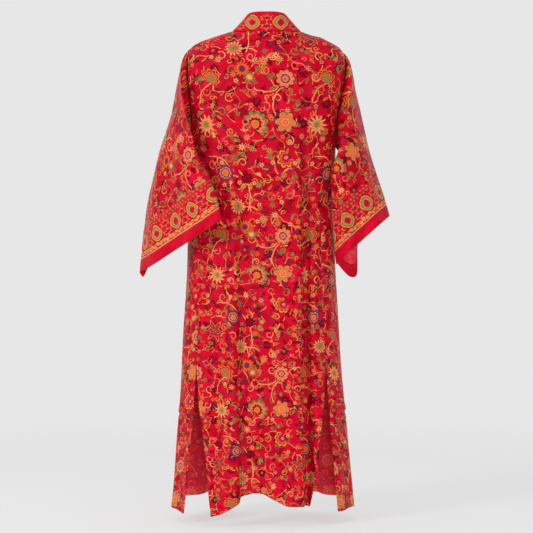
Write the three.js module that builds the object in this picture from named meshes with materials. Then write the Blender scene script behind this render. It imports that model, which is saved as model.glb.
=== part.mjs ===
// A long, open-fronted kimono robe, hollow as it hangs when worn, in millimetres.
// Z is up, the back of the robe faces +Y, the front -Y, and the wearer's left is +X.
// The origin is the middle of the neck at the height where the collar is sewn on.
//
// Every panel is a cloth wall. Its outer face is a grid of points worked out from the tables below,
// and its inner face is that grid moved in along the surface's own normals.
import * as THREE from "three";

// ---- Cloth and seams -------------------------------------------------------------------------
const CLOTH = 2.0; // wall of a single panel, with its seam allowances
const BAND_CLOTH = 3.0; // wall of the folded collar band
const SEAM_GAP = 0.3; // clear space between two panels that are sewn together

// ---- Driving sizes ---------------------------------------------------------------------------
const SHOULDER_HALF = 197; // middle to the top of the armhole
const NECK_HALF = 89; // middle to the side of the neckline
const NAPE_DEPTH = 62; // how far back the neckline reaches
const NAPE_DROP = 9; // the neckline is this much lower at the nape than at its sides
const COLLAR_WIDTH = 54;
const CLOTH_COLOUR = 0xb0132a;
const ROUNDNESS = 2.3; // superellipse exponent of the body's level sections
const UNDERARM = 0.215; // share of the panel's height from the shoulder down to the underarm
const SEAM_SETTLED = 0.36; // below this share the side seam hangs straight
const SLIT_TOP = 0.68; // the side seam stays open below this share
const ARMHOLE_KEPT = 0.3; // share of the sleeve over which its rings let go of the armhole's shape
const ARMHOLE_ANGLE = 14; // degrees that the armhole opens to either side of the body's side
const SEAM_ANGLE = 51; // degrees from the middle of the back to the side seam

// ---- Tables ----------------------------------------------------------------------------------
// Level sections of the body: half width, depth of the back and of the front, and sideways sway.
const BODY = [
  { z: -1240, half: 233, back: 128, front: 142, sway: 9 },
  { z: -1050, half: 220, back: 120, front: 134, sway: 11 },
  { z: -850, half: 206, back: 116, front: 127, sway: 14 },
  { z: -650, half: 195, back: 112, front: 121, sway: 15 },
  { z: -450, half: 191, back: 106, front: 119, sway: 13 },
  { z: -300, half: 188, back: 104, front: 121, sway: 8 },
  { z: -220, half: 193, back: 103, front: 117, sway: 5 },
  { z: -150, half: 204, back: 100, front: 108, sway: 2 },
  { z: -90, half: 210, back: 95, front: 98, sway: 0 },
  { z: 10, half: 206, back: 88, front: 90, sway: 0 },
];
// The shoulder line, from the neck out to the armhole.
const SHOULDER = [
  { x: 89, left: 6, right: 6 },
  { x: 120, left: -3, right: -6 },
  { x: 150, left: -13, right: -17 },
  { x: 180, left: -25, right: -30 },
  { x: 197, left: -38, right: -47 },
];
// Height of the back's hem: across runs from -1 at the right slit to 1 at the left slit.
const BACK_HEM = [
  { across: -1.0, z: -1214 },
  { across: -0.8, z: -1210 },
  { across: -0.45, z: -1209 },
  { across: -0.21, z: -1194 },
  { across: 0, z: -1182 },
  { across: 0.3, z: -1183 },
  { across: 0.42, z: -1190 },
  { across: 0.56, z: -1209 },
  { across: 0.75, z: -1224 },
  { across: 1.0, z: -1235 },
];
// Height of a front's hem: across runs from 0 at the slit to 1 at the front edge.
const FRONT_HEM = [
  { across: 0, left: -1235, right: -1229 },
  { across: 0.22, left: -1228, right: -1225 },
  { across: 0.6, left: -1215, right: -1215 },
  { across: 1, left: -1206, right: -1206 },
];
// How far the front's edge of the slit swings towards the wearer's side at the hem, in degrees.
const SLIT_SWING = { left: 4, right: 0 };
// Half width of the back panel, as a share of the body's half width, once the slit opens.
const BACK_SPREAD = [
  { down: 0.68, share: 0.802 },
  { down: 0.76, share: 0.755 },
  { down: 0.88, share: 0.64 },
  { down: 1.0, share: 0.525 },
];
// Where the front edge is sewn to the collar band, out from the middle of the body.
const FRONT_EDGE = [
  { down: 0, out: 89 },
  { down: 0.06, out: 90 },
  { down: 0.13, out: 84 },
  { down: 0.3, out: 76 },
  { down: 0.6, out: 78 },
  { down: 1.0, out: 88 },
];
// Folds of the back: x at the top and at the hem, depth at mid height and at the hem (negative is
// a trough), and how far each flank runs towards the wearer's left (+X) and right.
const BACK_FOLDS = [
  { name: "left slit ridge", xTop: 160, xHem: 132, from: -820, mid: 2, hem: 34, left: 40, right: 62 },
  { name: "left blade fold", xTop: 104, xHem: 78, from: -150, mid: 6, hem: 20, left: 52, right: 26 },
  { name: "middle trough", xTop: 20, xHem: 34, from: -420, mid: -5, hem: -18, left: 34, right: 62 },
  { name: "right knife ridge", xTop: -84, xHem: -88, from: -130, mid: 9, hem: 26, left: 78, right: 15 },
  { name: "right knife trough", xTop: -101, xHem: -104, from: -130, mid: -6, hem: -12, left: 15, right: 24 },
  { name: "right slit ridge", xTop: -150, xHem: -126, from: -760, mid: 2, hem: 20, left: 18, right: 40 },
  { name: "neck drag", xTop: -92, xHem: -125, from: -12, mid: 2.5, hem: 0, left: 16, right: 26 },
];
// Folds of a front: angle round the body in degrees from the middle of the back.
const FRONT_FOLDS = [
  { name: "slit edge", at: 54, from: -700, mid: 0, hem: 9, reach: 12 },
  { name: "side pleat", at: 82, from: -500, mid: 1, hem: 9, reach: 12 },
  { name: "side trough", at: 100, from: -420, mid: -4, hem: -13, reach: 12 },
  { name: "hip fold", at: 117, from: -360, mid: 5, hem: 16, reach: 12 },
  { name: "thigh trough", at: 133, from: -420, mid: -4, hem: -14, reach: 11 },
  { name: "front fold", at: 147, from: -260, mid: 4, hem: 13, reach: 10 },
];
// Sleeve sections, from the armhole (along 0) to the cuff (along 1). over is the sleeve's top edge,
// under its lower edge, back and front how far each layer stands off the middle between them,
// and pinch how flat the two folded edges are (1 is round).
const LEFT_SLEEVE = [
  { along: 0, over: [197, 0, -38], under: [195, 2, -300], back: [0, 34, 0], front: [0, -34, 0], pinch: 1 },
  { along: 0.1, over: [216, 0, -63], under: [201, 30, -311], back: [6, 52, 0], front: [10, -46, 0], pinch: 1 },
  { along: 0.25, over: [240, -14, -166], under: [178, 78, -326], back: [-8, 62, 0], front: [16, -44, -4], pinch: 1 },
  { along: 0.5, over: [275, -44, -318], under: [147, 122, -374], back: [34, 40, 0], front: [2, -8, -4], pinch: 1.1 },
  { along: 0.75, over: [316, -30, -468], under: [126, 146, -428], back: [20, 40, 0], front: [-4, -26, 4], pinch: 1.2 },
  { along: 1, over: [330, -2, -621], under: [113, 156, -488], back: [-2, 36, -3], front: [3, -34, 9], pinch: 1.3 },
];
const RIGHT_SLEEVE = [
  { along: 0, over: [-197, 0, -47], under: [-179, 2, -300], back: [0, 34, 0], front: [0, -34, 0], pinch: 1 },
  { along: 0.1, over: [-214, 0, -72], under: [-186, 32, -316], back: [-4, 50, 0], front: [-8, -48, 0], pinch: 1 },
  { along: 0.25, over: [-236, -6, -168], under: [-167, 66, -352], back: [0, 58, 0], front: [-12, -58, -4], pinch: 1 },
  { along: 0.5, over: [-266, -22, -293], under: [-166, 78, -434], back: [-10, 56, 0], front: [-14, -56, -8], pinch: 1.05 },
  { along: 0.75, over: [-296, -10, -388], under: [-170, 66, -523], back: [-2, 56, 3], front: [-8, -58, -4], pinch: 1.1 },
  { along: 1, over: [-320, 4, -475], under: [-180, 30, -600], back: [5, 56, -1], front: [3, -50, 2], pinch: 1.15 },
];
// The share of the sleeve's length that its plain cuff band takes, at the sleeve's top edge (over) and
// at its lower edge (under). The cuff is cut on a slant, so the shares differ where the band doesn't.
const LEFT_BAND = { over: 0.045, under: 0.113 };
const RIGHT_BAND = { over: 0.077, under: 0.082 };
// Long folds of the sleeves. turn is the angle round the sleeve in degrees, 0 at its top edge,
// 90 in the middle of its back layer and 270 in the middle of its front layer. before and after
// are the widths of its flanks, out how far it stands off the layer, and at the cuff it hangs
// lower by drop and lies further towards the wearer's left by swing.
const LEFT_SLEEVE_FOLDS = [
  { name: "elbow ridge", turn: 50, before: 22, after: 26, out: 6, drop: 0, swing: 0 },
  { name: "back trough", turn: 88, before: 26, after: 20, out: -8, drop: 0, swing: 0 },
  { name: "lower ridge", turn: 128, before: 22, after: 24, out: 6, drop: 0, swing: 0 },
  { name: "front trough", turn: 262, before: 26, after: 22, out: -5, drop: 0, swing: 0 },
  { name: "front ridge", turn: 306, before: 20, after: 26, out: 6, drop: 0, swing: 0 },
  { name: "outer corner", turn: 344, before: 34, after: 20, out: 0, drop: 16, swing: -6 },
];
const RIGHT_SLEEVE_FOLDS = [
  { name: "elbow ridge", turn: 58, before: 26, after: 20, out: 6, drop: 0, swing: 0 },
  { name: "back trough", turn: 96, before: 20, after: 26, out: -7, drop: 0, swing: 0 },
  { name: "lower ridge", turn: 138, before: 24, after: 20, out: 5, drop: 0, swing: 0 },
  { name: "hanging corner", turn: 242, before: 50, after: 24, out: 6, drop: 66, swing: -19 },
  { name: "front ridge", turn: 310, before: 22, after: 24, out: 6, drop: 0, swing: 0 },
];
// The way the collar band leans from its seam to its free edge, by turn round the neck in degrees,
// for the left side; the right side is its mirror.
const COLLAR_LEAN = [
  { turn: 0, x: 0, y: -0.22, z: 0.975 },
  { turn: 45, x: -0.42, y: -0.1, z: 0.92 },
  { turn: 90, x: -0.77, y: 0, z: 0.66 },
];
const COLLAR_FLAT_BY = 0.1; // share of the front's height where the band lies flat on the chest

// ---- How finely the grids are cut ------------------------------------------------------------
const ARMHOLE_ROWS = 11;
const WAIST_ROWS = 10;
const SLIT_ROWS = 9;
const SHOULDER_COLUMNS = 14;
const NECK_COLUMNS = 10;
const COLLAR_COLUMNS = 3;
const SLEEVE_RINGS = 14;

// ---- Small helpers ---------------------------------------------------------------------------
const SPLIT = new THREE.Vector3(0.36, 0.48, 0.8);
const radians = (degrees) => (degrees * Math.PI) / 180;
const clamp01 = (t) => Math.min(1, Math.max(0, t));
const mix = (a, b, t) => a + (b - a) * t;
const ease = (t) => clamp01(t) ** 2 * (3 - 2 * clamp01(t));
const signedPower = (v, p) => Math.sign(v) * Math.abs(v) ** p;
const end = (side) => (side > 0 ? "left" : "right");

// Reads a table's column at any key, on a smooth curve through its rows.
function read(table, key, column, at) {
  const rows = table[0][key] < table[table.length - 1][key] ? table : [...table].reverse();
  const last = rows.length - 1;
  const x = Math.min(rows[last][key], Math.max(rows[0][key], at));
  let i = 0;
  while (i < last - 1 && x > rows[i + 1][key]) i += 1;
  const rise = (k) => (rows[k + 1][column] - rows[k][column]) / (rows[k + 1][key] - rows[k][key]);
  const slope = (k) => {
    if (k === 0) return rise(0);
    if (k === last) return rise(last - 1);
    return (rise(k - 1) + rise(k)) / 2;
  };
  const h = rows[i + 1][key] - rows[i][key];
  const t = (x - rows[i][key]) / h;
  const start = rows[i][column];
  const end = rows[i + 1][column];
  return (
    start * (1 + 2 * t) * (1 - t) ** 2 +
    end * t * t * (3 - 2 * t) +
    h * (slope(i) * t * (1 - t) ** 2 - slope(i + 1) * t * t * (1 - t))
  );
}

// The same for a column that holds a point.
function readPoint(table, key, column, at) {
  const axis = (n) => table.map((row) => ({ [key]: row[key], value: row[column][n] }));
  return new THREE.Vector3(...[0, 1, 2].map((n) => read(axis(n), key, "value", at)));
}

// ---- The body as one surface -----------------------------------------------------------------
// A fold's height at an offset from its crest: a smooth bump with two flanks of its own.
function bump(offset, left, right) {
  const u = offset > 0 ? offset / left : -offset / right;
  return u < 1 ? (1 + Math.cos(Math.PI * u)) / 2 : 0;
}

// How deep a fold is at a height: nothing above where it starts, then mid, then its hem depth.
function foldDepth(fold, z) {
  const hemZ = BODY[0].z;
  const middleZ = (fold.from + hemZ) / 2;
  return z > middleZ
    ? fold.mid * ease((fold.from - z) / (fold.from - middleZ))
    : mix(fold.mid, fold.hem, clamp01((middleZ - z) / (middleZ - hemZ)) ** 1.3);
}

// A point on the body: share is x as a share of the half width, and isBack picks the half.
function sectionPoint(share, isBack, z, height) {
  const half = read(BODY, "z", "half", z);
  const depth = read(BODY, "z", isBack ? "back" : "front", z);
  const level = Math.max(0, 1 - Math.abs(share) ** ROUNDNESS) ** (1 / ROUNDNESS);
  const x = read(BODY, "z", "sway", z) + half * share;
  const y = (isBack ? 1 : -1) * depth * level;
  const normal = new THREE.Vector2(
    signedPower(share, ROUNDNESS - 1) / half,
    ((isBack ? 1 : -1) * level ** (ROUNDNESS - 1)) / depth,
  ).normalize();
  const raised = height(x, z);
  return new THREE.Vector2(x + normal.x * raised, y + normal.y * raised);
}

const backFoldHeight = (x, z) =>
  BACK_FOLDS.reduce((sum, fold) => {
    const crest = mix(fold.xTop, fold.xHem, clamp01(z / BODY[0].z));
    return sum + foldDepth(fold, z) * bump(x - crest, fold.left, fold.right);
  }, 0);

const frontFoldHeight = (angle, z) =>
  FRONT_FOLDS.reduce(
    (sum, fold) => sum + foldDepth(fold, z) * bump(angle - fold.at, fold.reach, fold.reach),
    0,
  );

// From the top edge the cloth rounds over into the level sections within a drop. Over the shoulder
// it starts level; at the neck (nearNeck 1) it starts on a slope.
function roundOver(top, below, drop, nearNeck) {
  const fallen = clamp01(drop / mix(100, 128, nearNeck));
  const share = (1 - (1 - fallen) ** mix(2, 1.55, nearNeck)) ** (1 / mix(2, 1.08, nearNeck));
  return new THREE.Vector2(mix(top.x, below.x, share), mix(top.y, below.y, share));
}

// Angle from the middle of the back to the side seam or to one side of the armhole.
function edgeAngle(down, isBack) {
  if (down < UNDERARM) {
    const opened = ARMHOLE_ANGLE * Math.sin((Math.PI * down) / UNDERARM) ** 0.6;
    return isBack ? 90 - opened : 90 + opened;
  }
  const swung = ease((down - UNDERARM) / (SEAM_SETTLED - UNDERARM));
  return mix(90, SEAM_ANGLE, swung);
}

const shareAt = (angle) => Math.abs(Math.sin(radians(angle))) ** (2 / ROUNDNESS);

// The back: across runs from -1 (right edge) to 1 (left edge).
function backTop(across) {
  const x = SHOULDER_HALF * across;
  if (Math.abs(x) >= NECK_HALF) {
    return new THREE.Vector3(x, 0, read(SHOULDER, "x", end(x), Math.abs(x)));
  }
  const level = Math.sqrt(1 - (x / NECK_HALF) ** 2);
  return new THREE.Vector3(x, NAPE_DEPTH * level, SHOULDER[0].left - NAPE_DROP * level);
}

function backPoint(across, down) {
  const top = backTop(across);
  const z = mix(top.z, read(BACK_HEM, "across", "z", across), down);
  const spread = down < SLIT_TOP ? shareAt(edgeAngle(down, true)) : read(BACK_SPREAD, "down", "share", down);
  const below = sectionPoint(across * spread, true, z, backFoldHeight);
  const nearNeck = ease((NECK_HALF * 1.5 - Math.abs(top.x)) / NECK_HALF);
  const level = roundOver(top, below, top.z - z, nearNeck);
  return new THREE.Vector3(level.x, level.y, z);
}

// A front: side is 1 for the left one and -1 for the right; across runs from 0 at the side to 1 at
// the front edge.
function frontPoint(side, across, down) {
  const x = mix(SHOULDER_HALF, NECK_HALF, across);
  const top = new THREE.Vector3(side * x, 0, read(SHOULDER, "x", end(side), x));
  const slit = clamp01((down - SLIT_TOP) / (1 - SLIT_TOP));
  const sewnTo = mix(read(BACK_HEM, "across", "z", side), read(FRONT_HEM, "across", end(side), 0), slit);
  const own = read(FRONT_HEM, "across", end(side), across);
  const z = mix(top.z, mix(sewnTo, own, ease(across / 0.2)), down);
  const out = read(FRONT_EDGE, "down", "out", down) / read(BODY, "z", "half", z);
  const last = 180 - (180 / Math.PI) * Math.asin(out ** (ROUNDNESS / 2));
  const first = edgeAngle(down, false) + SLIT_SWING[end(side)] * ease(slit);
  const angle = mix(first, last, across);
  const below = sectionPoint(side * shareAt(angle), angle < 90, z, (worldX, height) => {
    const folds = frontFoldHeight(angle, height);
    return slit > 0 ? folds : mix(backFoldHeight(worldX, height), folds, ease(across / 0.12));
  });
  const level = roundOver(top, below, top.z - z, ease((across - 0.5) / 0.5));
  return new THREE.Vector3(level.x, level.y, z);
}

// ---- Sheets: a grid of points and the normals that its wall is thickened along ---------------
function makeSheet(name, rows, { ring = false, flip = false, wall = CLOTH } = {}) {
  return { name, rows, ring, flip, wall, normals: gridNormals(rows, ring, flip) };
}

function gridNormals(rows, ring, flip) {
  const across = rows[0].length;
  const normals = rows.map((row) => row.map(() => new THREE.Vector3()));
  for (let i = 0; i + 1 < rows.length; i += 1) {
    for (let j = 0; j < (ring ? across : across - 1); j += 1) {
      const k = (j + 1) % across;
      const down = rows[i + 1][k].clone().sub(rows[i][j]);
      const over = rows[i][k].clone().sub(rows[i + 1][j]);
      const face = flip ? down.cross(over) : over.cross(down);
      for (const [r, c] of [[i, j], [i, k], [i + 1, j], [i + 1, k]]) normals[r][c].add(face);
    }
  }
  normals.flat().forEach((n) => n.normalize());
  return normals;
}

// Every point of a sheet's edges, with the step that leads from it into the sheet.
function edgeCells({ rows, ring }) {
  const bottom = rows.length - 1;
  const right = rows[0].length - 1;
  const cells = [];
  rows[0].forEach((_, j) => cells.push([0, j, 1, 0], [bottom, j, -1, 0]));
  if (!ring) rows.forEach((_, i) => cells.push([i, 0, 0, 1], [i, right, 0, -1]));
  return cells;
}

// Sews the sheets: where edges coincide they take one shared normal, so that the walls meet face
// to face, and each edge is drawn back by half the seam's gap.
function sew(sheets) {
  const seams = new Map();
  for (const sheet of sheets) {
    for (const [i, j, stepI, stepJ] of edgeCells(sheet)) {
      const key = sheet.rows[i][j].toArray().map((v) => Math.round(v * 10)).join(" ");
      if (!seams.has(key)) seams.set(key, []);
      seams.get(key).push({ sheet, i, j, stepI, stepJ });
    }
  }
  const shared = [...seams.values()].filter((cells) => new Set(cells.map((c) => c.sheet)).size > 1);
  for (const cells of shared) {
    const normal = new THREE.Vector3();
    for (const { sheet, i, j } of cells) normal.add(sheet.normals[i][j]);
    normal.normalize();
    for (const { sheet, i, j } of cells) sheet.normals[i][j].copy(normal);
  }
  const moves = shared.flat().map(({ sheet, i, j, stepI, stepJ }) => {
    const normal = sheet.normals[i][j];
    const inward = sheet.rows[i + stepI][j + stepJ].clone().sub(sheet.rows[i][j]);
    inward.addScaledVector(normal, -inward.dot(normal)).normalize();
    return { point: sheet.rows[i][j], inward };
  });
  for (const { point, inward } of moves) point.addScaledVector(inward, SEAM_GAP / 2);
}

// Closes a sheet into a wall: outer face, inner face and the rims between them.
function wallGeometry({ rows, normals, ring, flip, wall }) {
  const down = rows.length;
  const across = rows[0].length;
  const outer = rows.flat();
  const depths = normals.flat();
  const inner = outer.map((p, n) => p.clone().addScaledVector(depths[n], -wall));
  const at = (i, j) => i * across + (j % across);
  const under = (i, j) => outer.length + at(i, j);
  const triangles = [];
  const quad = (a, b, c, d) => {
    if (flip) triangles.push(a, b, c, a, c, d);
    else triangles.push(a, c, b, a, d, c);
  };
  const columns = ring ? across : across - 1;
  for (let i = 0; i + 1 < down; i += 1) {
    for (let j = 0; j < columns; j += 1) {
      quad(at(i, j), at(i + 1, j), at(i + 1, j + 1), at(i, j + 1));
      quad(under(i, j), under(i, j + 1), under(i + 1, j + 1), under(i + 1, j));
    }
  }
  // Two rims that meet at a seam are split alike, from the outer corner further along SPLIT.
  const rim = (a, b) => {
    const [innerA, innerB] = [a + outer.length, b + outer.length];
    if (outer[a].dot(SPLIT) > outer[b].dot(SPLIT)) quad(a, b, innerB, innerA);
    else quad(b, innerB, innerA, a);
  };
  for (let j = 0; j < columns; j += 1) {
    rim(at(0, j), at(0, j + 1));
    rim(at(down - 1, j + 1), at(down - 1, j));
  }
  for (let i = 0; i + 1 < down && !ring; i += 1) {
    rim(at(i + 1, 0), at(i, 0));
    rim(at(i, across - 1), at(i + 1, across - 1));
  }
  const geometry = new THREE.BufferGeometry();
  const positions = [...outer, ...inner].flatMap((p) => p.toArray());
  geometry.setAttribute("position", new THREE.Float32BufferAttribute(positions, 3));
  geometry.setIndex(triangles);
  geometry.computeVertexNormals();
  return geometry;
}

// ---- Rows and columns that the panels share --------------------------------------------------
const steps = (count) => Array.from({ length: count + 1 }, (_, k) => k / count);
const DOWNS = [
  ...steps(ARMHOLE_ROWS).map((t) => UNDERARM * t ** 1.3),
  ...steps(WAIST_ROWS).slice(1).map((t) => mix(UNDERARM, SLIT_TOP, t)),
  ...steps(SLIT_ROWS).slice(1).map((t) => mix(SLIT_TOP, 1, t)),
];
const NECK_SHARE = NECK_HALF / SHOULDER_HALF;
const NECK_TURNS = steps(NECK_COLUMNS).map((t) => mix(-90, 90, t));
const BACK_COLUMNS = [
  ...steps(SHOULDER_COLUMNS).slice(0, -1).map((t) => mix(-1, -NECK_SHARE, t)),
  ...NECK_TURNS.map((turn) => NECK_SHARE * Math.sin(radians(turn))),
  ...steps(SHOULDER_COLUMNS).slice(1).map((t) => mix(NECK_SHARE, 1, t)),
];

// ---- Panels ----------------------------------------------------------------------------------
function makeBack() {
  const rows = DOWNS.map((down) => BACK_COLUMNS.map((across) => backPoint(across, down)));
  return makeSheet("back", rows);
}

// A front has the columns of one shoulder of the back, so that the two shoulder edges match.
function makeFront(name, side) {
  const columns = steps(SHOULDER_COLUMNS);
  const rows = DOWNS.map((down) => columns.map((across) => frontPoint(side, across, down)));
  return makeSheet(name, rows, { flip: side < 0 });
}

// ---- Sleeves ---------------------------------------------------------------------------------
// The armhole as one loop: from the shoulder down the back's edge, then up the front's edge.
function armhole(side) {
  const armRows = DOWNS.slice(0, ARMHOLE_ROWS + 1);
  const down = armRows.map((at) => backPoint(side, at));
  const up = armRows.slice(1, -1).reverse().map((at) => frontPoint(side, 0, at));
  return [...down, ...up];
}

function sleevePoint({ table, folds }, along, turn) {
  const over = readPoint(table, "along", "over", along);
  const under = readPoint(table, "along", "under", along);
  const middle = over.clone().add(under).multiplyScalar(0.5);
  const towardsOver = over.clone().sub(middle);
  const layer = readPoint(table, "along", turn < Math.PI ? "back" : "front", along);
  const pinch = read(table, "along", "pinch", along);
  const degrees = (turn * 180) / Math.PI;
  const point = middle.addScaledVector(towardsOver, Math.cos(turn));
  point.addScaledVector(layer, Math.abs(Math.sin(turn)) ** pinch);
  for (const fold of folds) {
    const share = bump(degrees - fold.turn, fold.after, fold.before) * ease((along - 0.15) / 0.6);
    point.addScaledVector(layer, (fold.out * share) / Math.max(20, layer.length()));
    point.z -= fold.drop * share * along;
    point.x += fold.swing * share * along;
  }
  return point;
}

// A ring starts on the armhole and lets go of its exact shape over the first part of the sleeve.
// alongAt gives how far down the sleeve the ring lies at each turn.
function sleeveRing(sleeve, loop, alongAt) {
  return loop.map((point, k) => {
    const turn = (2 * Math.PI * k) / loop.length;
    const along = alongAt(turn);
    const kept = clamp01(1 - along / ARMHOLE_KEPT) ** 2;
    const difference = point.clone().sub(sleevePoint(sleeve, 0, turn));
    return sleevePoint(sleeve, along, turn).addScaledVector(difference, kept);
  });
}

function makeSleeve(side, sleeve) {
  const loop = armhole(side);
  const form = { ring: true, flip: side > 0 };
  const seamAt = (turn) => 1 - mix(sleeve.band.over, sleeve.band.under, (1 - Math.cos(turn)) / 2);
  const upTo = (share) => sleeveRing(sleeve, loop, (turn) => seamAt(turn) * share);
  const cuff = sleeveRing(sleeve, loop, () => 1);
  return [
    makeSheet(`sleeve_${end(side)}`, steps(SLEEVE_RINGS).map((t) => upTo(t ** 1.15)), form),
    makeSheet(`cuff_band_${end(side)}`, [upTo(1), cuff], form),
  ];
}

// ---- Collar band -----------------------------------------------------------------------------
function leanAtNeck(turn) {
  const [x, y, z] = ["x", "y", "z"].map((axis) => read(COLLAR_LEAN, "turn", axis, Math.abs(turn)));
  return new THREE.Vector3(x * Math.sign(turn), y, z).normalize();
}

function bandFrom(seam, leans) {
  return steps(COLLAR_COLUMNS).map((share) =>
    seam.map((point, n) => point.clone().addScaledVector(leans[n], COLLAR_WIDTH * share)),
  );
}

function makeNapeCollar() {
  const seam = NECK_TURNS.map((turn) => backTop(NECK_SHARE * Math.sin(radians(turn))));
  return makeSheet("collar_nape", bandFrom(seam, NECK_TURNS.map(leanAtNeck)), {
    flip: true,
    wall: BAND_CLOTH,
  });
}

function makeSideCollar(name, side) {
  const seam = DOWNS.map((down) => frontPoint(side, 1, down));
  const leans = DOWNS.map((down) => {
    const along = frontPoint(side, 1, down).sub(frontPoint(side, 0.9, down)).setZ(0).normalize();
    return leanAtNeck(90 * side).lerp(along, ease(down / COLLAR_FLAT_BY)).normalize();
  });
  return makeSheet(name, bandFrom(seam, leans), { flip: side > 0, wall: BAND_CLOTH });
}

// ---- Sewing it together ----------------------------------------------------------------------
const sheets = [
  makeBack(),
  makeFront("front_left", 1),
  makeFront("front_right", -1),
  ...makeSleeve(1, { table: LEFT_SLEEVE, folds: LEFT_SLEEVE_FOLDS, band: LEFT_BAND }),
  ...makeSleeve(-1, { table: RIGHT_SLEEVE, folds: RIGHT_SLEEVE_FOLDS, band: RIGHT_BAND }),
  makeNapeCollar(),
  makeSideCollar("collar_left", 1),
  makeSideCollar("collar_right", -1),
];
sew(sheets);

const kimono = new THREE.Group();
kimono.name = "kimono";
for (const sheet of sheets) {
  const material = new THREE.MeshStandardMaterial({ color: CLOTH_COLOUR, roughness: 0.5, metalness: 0 });
  const mesh = new THREE.Mesh(wallGeometry(sheet), material);
  mesh.name = sheet.name;
  kimono.add(mesh);
}

export default kimono;
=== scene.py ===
# %% [markdown]
# # A long printed-silk kimono robe
# The robe hangs hollow, as it does when somebody wears it. Each cloth panel of the real robe is a
# separate piece here: the back, two fronts, two sleeves, two cuff bands and one long collar band.
# The robe could be sculpted as one skin, but panels can be cut, printed and sewn as real ones are.
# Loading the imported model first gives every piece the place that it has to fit.

# %% Load the frame
import math
import bmesh
import bpy
import numpy as np
from mathutils import Matrix, Vector


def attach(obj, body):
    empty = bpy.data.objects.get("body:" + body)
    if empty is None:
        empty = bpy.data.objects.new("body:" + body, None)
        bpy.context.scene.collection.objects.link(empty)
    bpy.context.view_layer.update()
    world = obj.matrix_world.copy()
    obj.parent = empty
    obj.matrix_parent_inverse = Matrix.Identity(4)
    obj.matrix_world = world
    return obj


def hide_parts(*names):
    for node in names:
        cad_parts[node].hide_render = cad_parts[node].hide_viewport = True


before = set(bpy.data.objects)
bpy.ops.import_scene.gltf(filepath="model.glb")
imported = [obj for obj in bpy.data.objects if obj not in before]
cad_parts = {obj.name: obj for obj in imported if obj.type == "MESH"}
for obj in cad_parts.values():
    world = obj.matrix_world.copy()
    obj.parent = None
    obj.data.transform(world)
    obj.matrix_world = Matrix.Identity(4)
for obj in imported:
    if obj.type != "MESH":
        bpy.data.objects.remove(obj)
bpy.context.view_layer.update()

# %% [markdown]
# ## The camera
# A long lens from far away shows a tall garment almost as a flat drawing does. An orthographic
# camera would do so too, but would lose the little depth that sleeves and slits need. The camera
# comes first, because every other choice is judged through it. It stands behind the robe.

# %% Camera
CAMERA_DISTANCE = 4.2
CAMERA_HEIGHT = -0.606
CAMERA_SEES = 60
LENS = 109.1

camera = bpy.data.objects.new("camera", bpy.data.cameras.new("camera"))
camera.data.lens = LENS
camera.data.clip_end = CAMERA_SEES
camera.location = (0, CAMERA_DISTANCE, CAMERA_HEIGHT)
camera.rotation_euler = (math.pi / 2, 0, math.pi)
bpy.context.collection.objects.link(camera)
bpy.context.scene.camera = camera
bpy.context.scene.view_settings.view_transform = "Standard"
print("camera behind the robe at", CAMERA_DISTANCE, "m")

# %% [markdown]
# ## Tables and how they are read
# The cut and the drape of a garment are a few sizes at a few heights. Each table has named columns,
# and a smooth curve runs through its rows, as a tailor's French curve does. Sizes are millimetres.

# %% Table helpers
MM = 0.001


def rows(names, *values):
    return [dict(zip(names.split(), value)) for value in values]


def clamp01(t):
    return min(1.0, max(0.0, t))


def mix(a, b, t):
    return a + (b - a) * t


def ease(t):
    return clamp01(t) ** 2 * (3 - 2 * clamp01(t))


def read(table, key, column, at):
    last = len(table) - 1
    x = min(table[last][key], max(table[0][key], at))
    i = 0
    while i < last - 1 and x > table[i + 1][key]:
        i += 1

    def rise(k):
        return (table[k + 1][column] - table[k][column]) / (table[k + 1][key] - table[k][key])

    def slope(k):
        if k == 0:
            return rise(0)
        return rise(last - 1) if k == last else (rise(k - 1) + rise(k)) / 2

    h = table[i + 1][key] - table[i][key]
    t = (x - table[i][key]) / h
    start, end = table[i][column], table[i + 1][column]
    return (
        start * (1 + 2 * t) * (1 - t) ** 2
        + end * t * t * (3 - 2 * t)
        + h * (slope(i) * t * (1 - t) ** 2 - slope(i + 1) * t * t * (1 - t))
    )


def read_point(table, key, column, at):
    axes = [[{key: row[key], "v": row[column][n]} for row in table] for n in range(3)]
    return Vector(read(axis, key, "v", at) for axis in axes)


# %% [markdown]
# ## How the robe hangs
# Worn cloth stands off the body in rounded sections that change from the shoulders to the hem. They
# could come from a cloth simulation, but its folds can't be placed. Here each section is a rounded
# box read from a table of heights. Every long fold is a bump along a crest line, added along the
# section's normal, so it sits and fades out where it should.

# %% Sizes and sections of the body
SHOULDER_HALF = 197
NECK_HALF = 89
NAPE_DEPTH = 62
NAPE_DROP = 9
COLLAR_WIDTH = 54
ROUNDNESS = 2.3
UNDERARM = 0.215
SEAM_SETTLED = 0.36
SLIT_TOP = 0.68
ARMHOLE_ANGLE = 14
ARMHOLE_KEPT = 0.3
SEAM_ANGLE = 51
SLIT_SWING = {"left": 4, "right": 0}
HEM_Z = -1240

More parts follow.
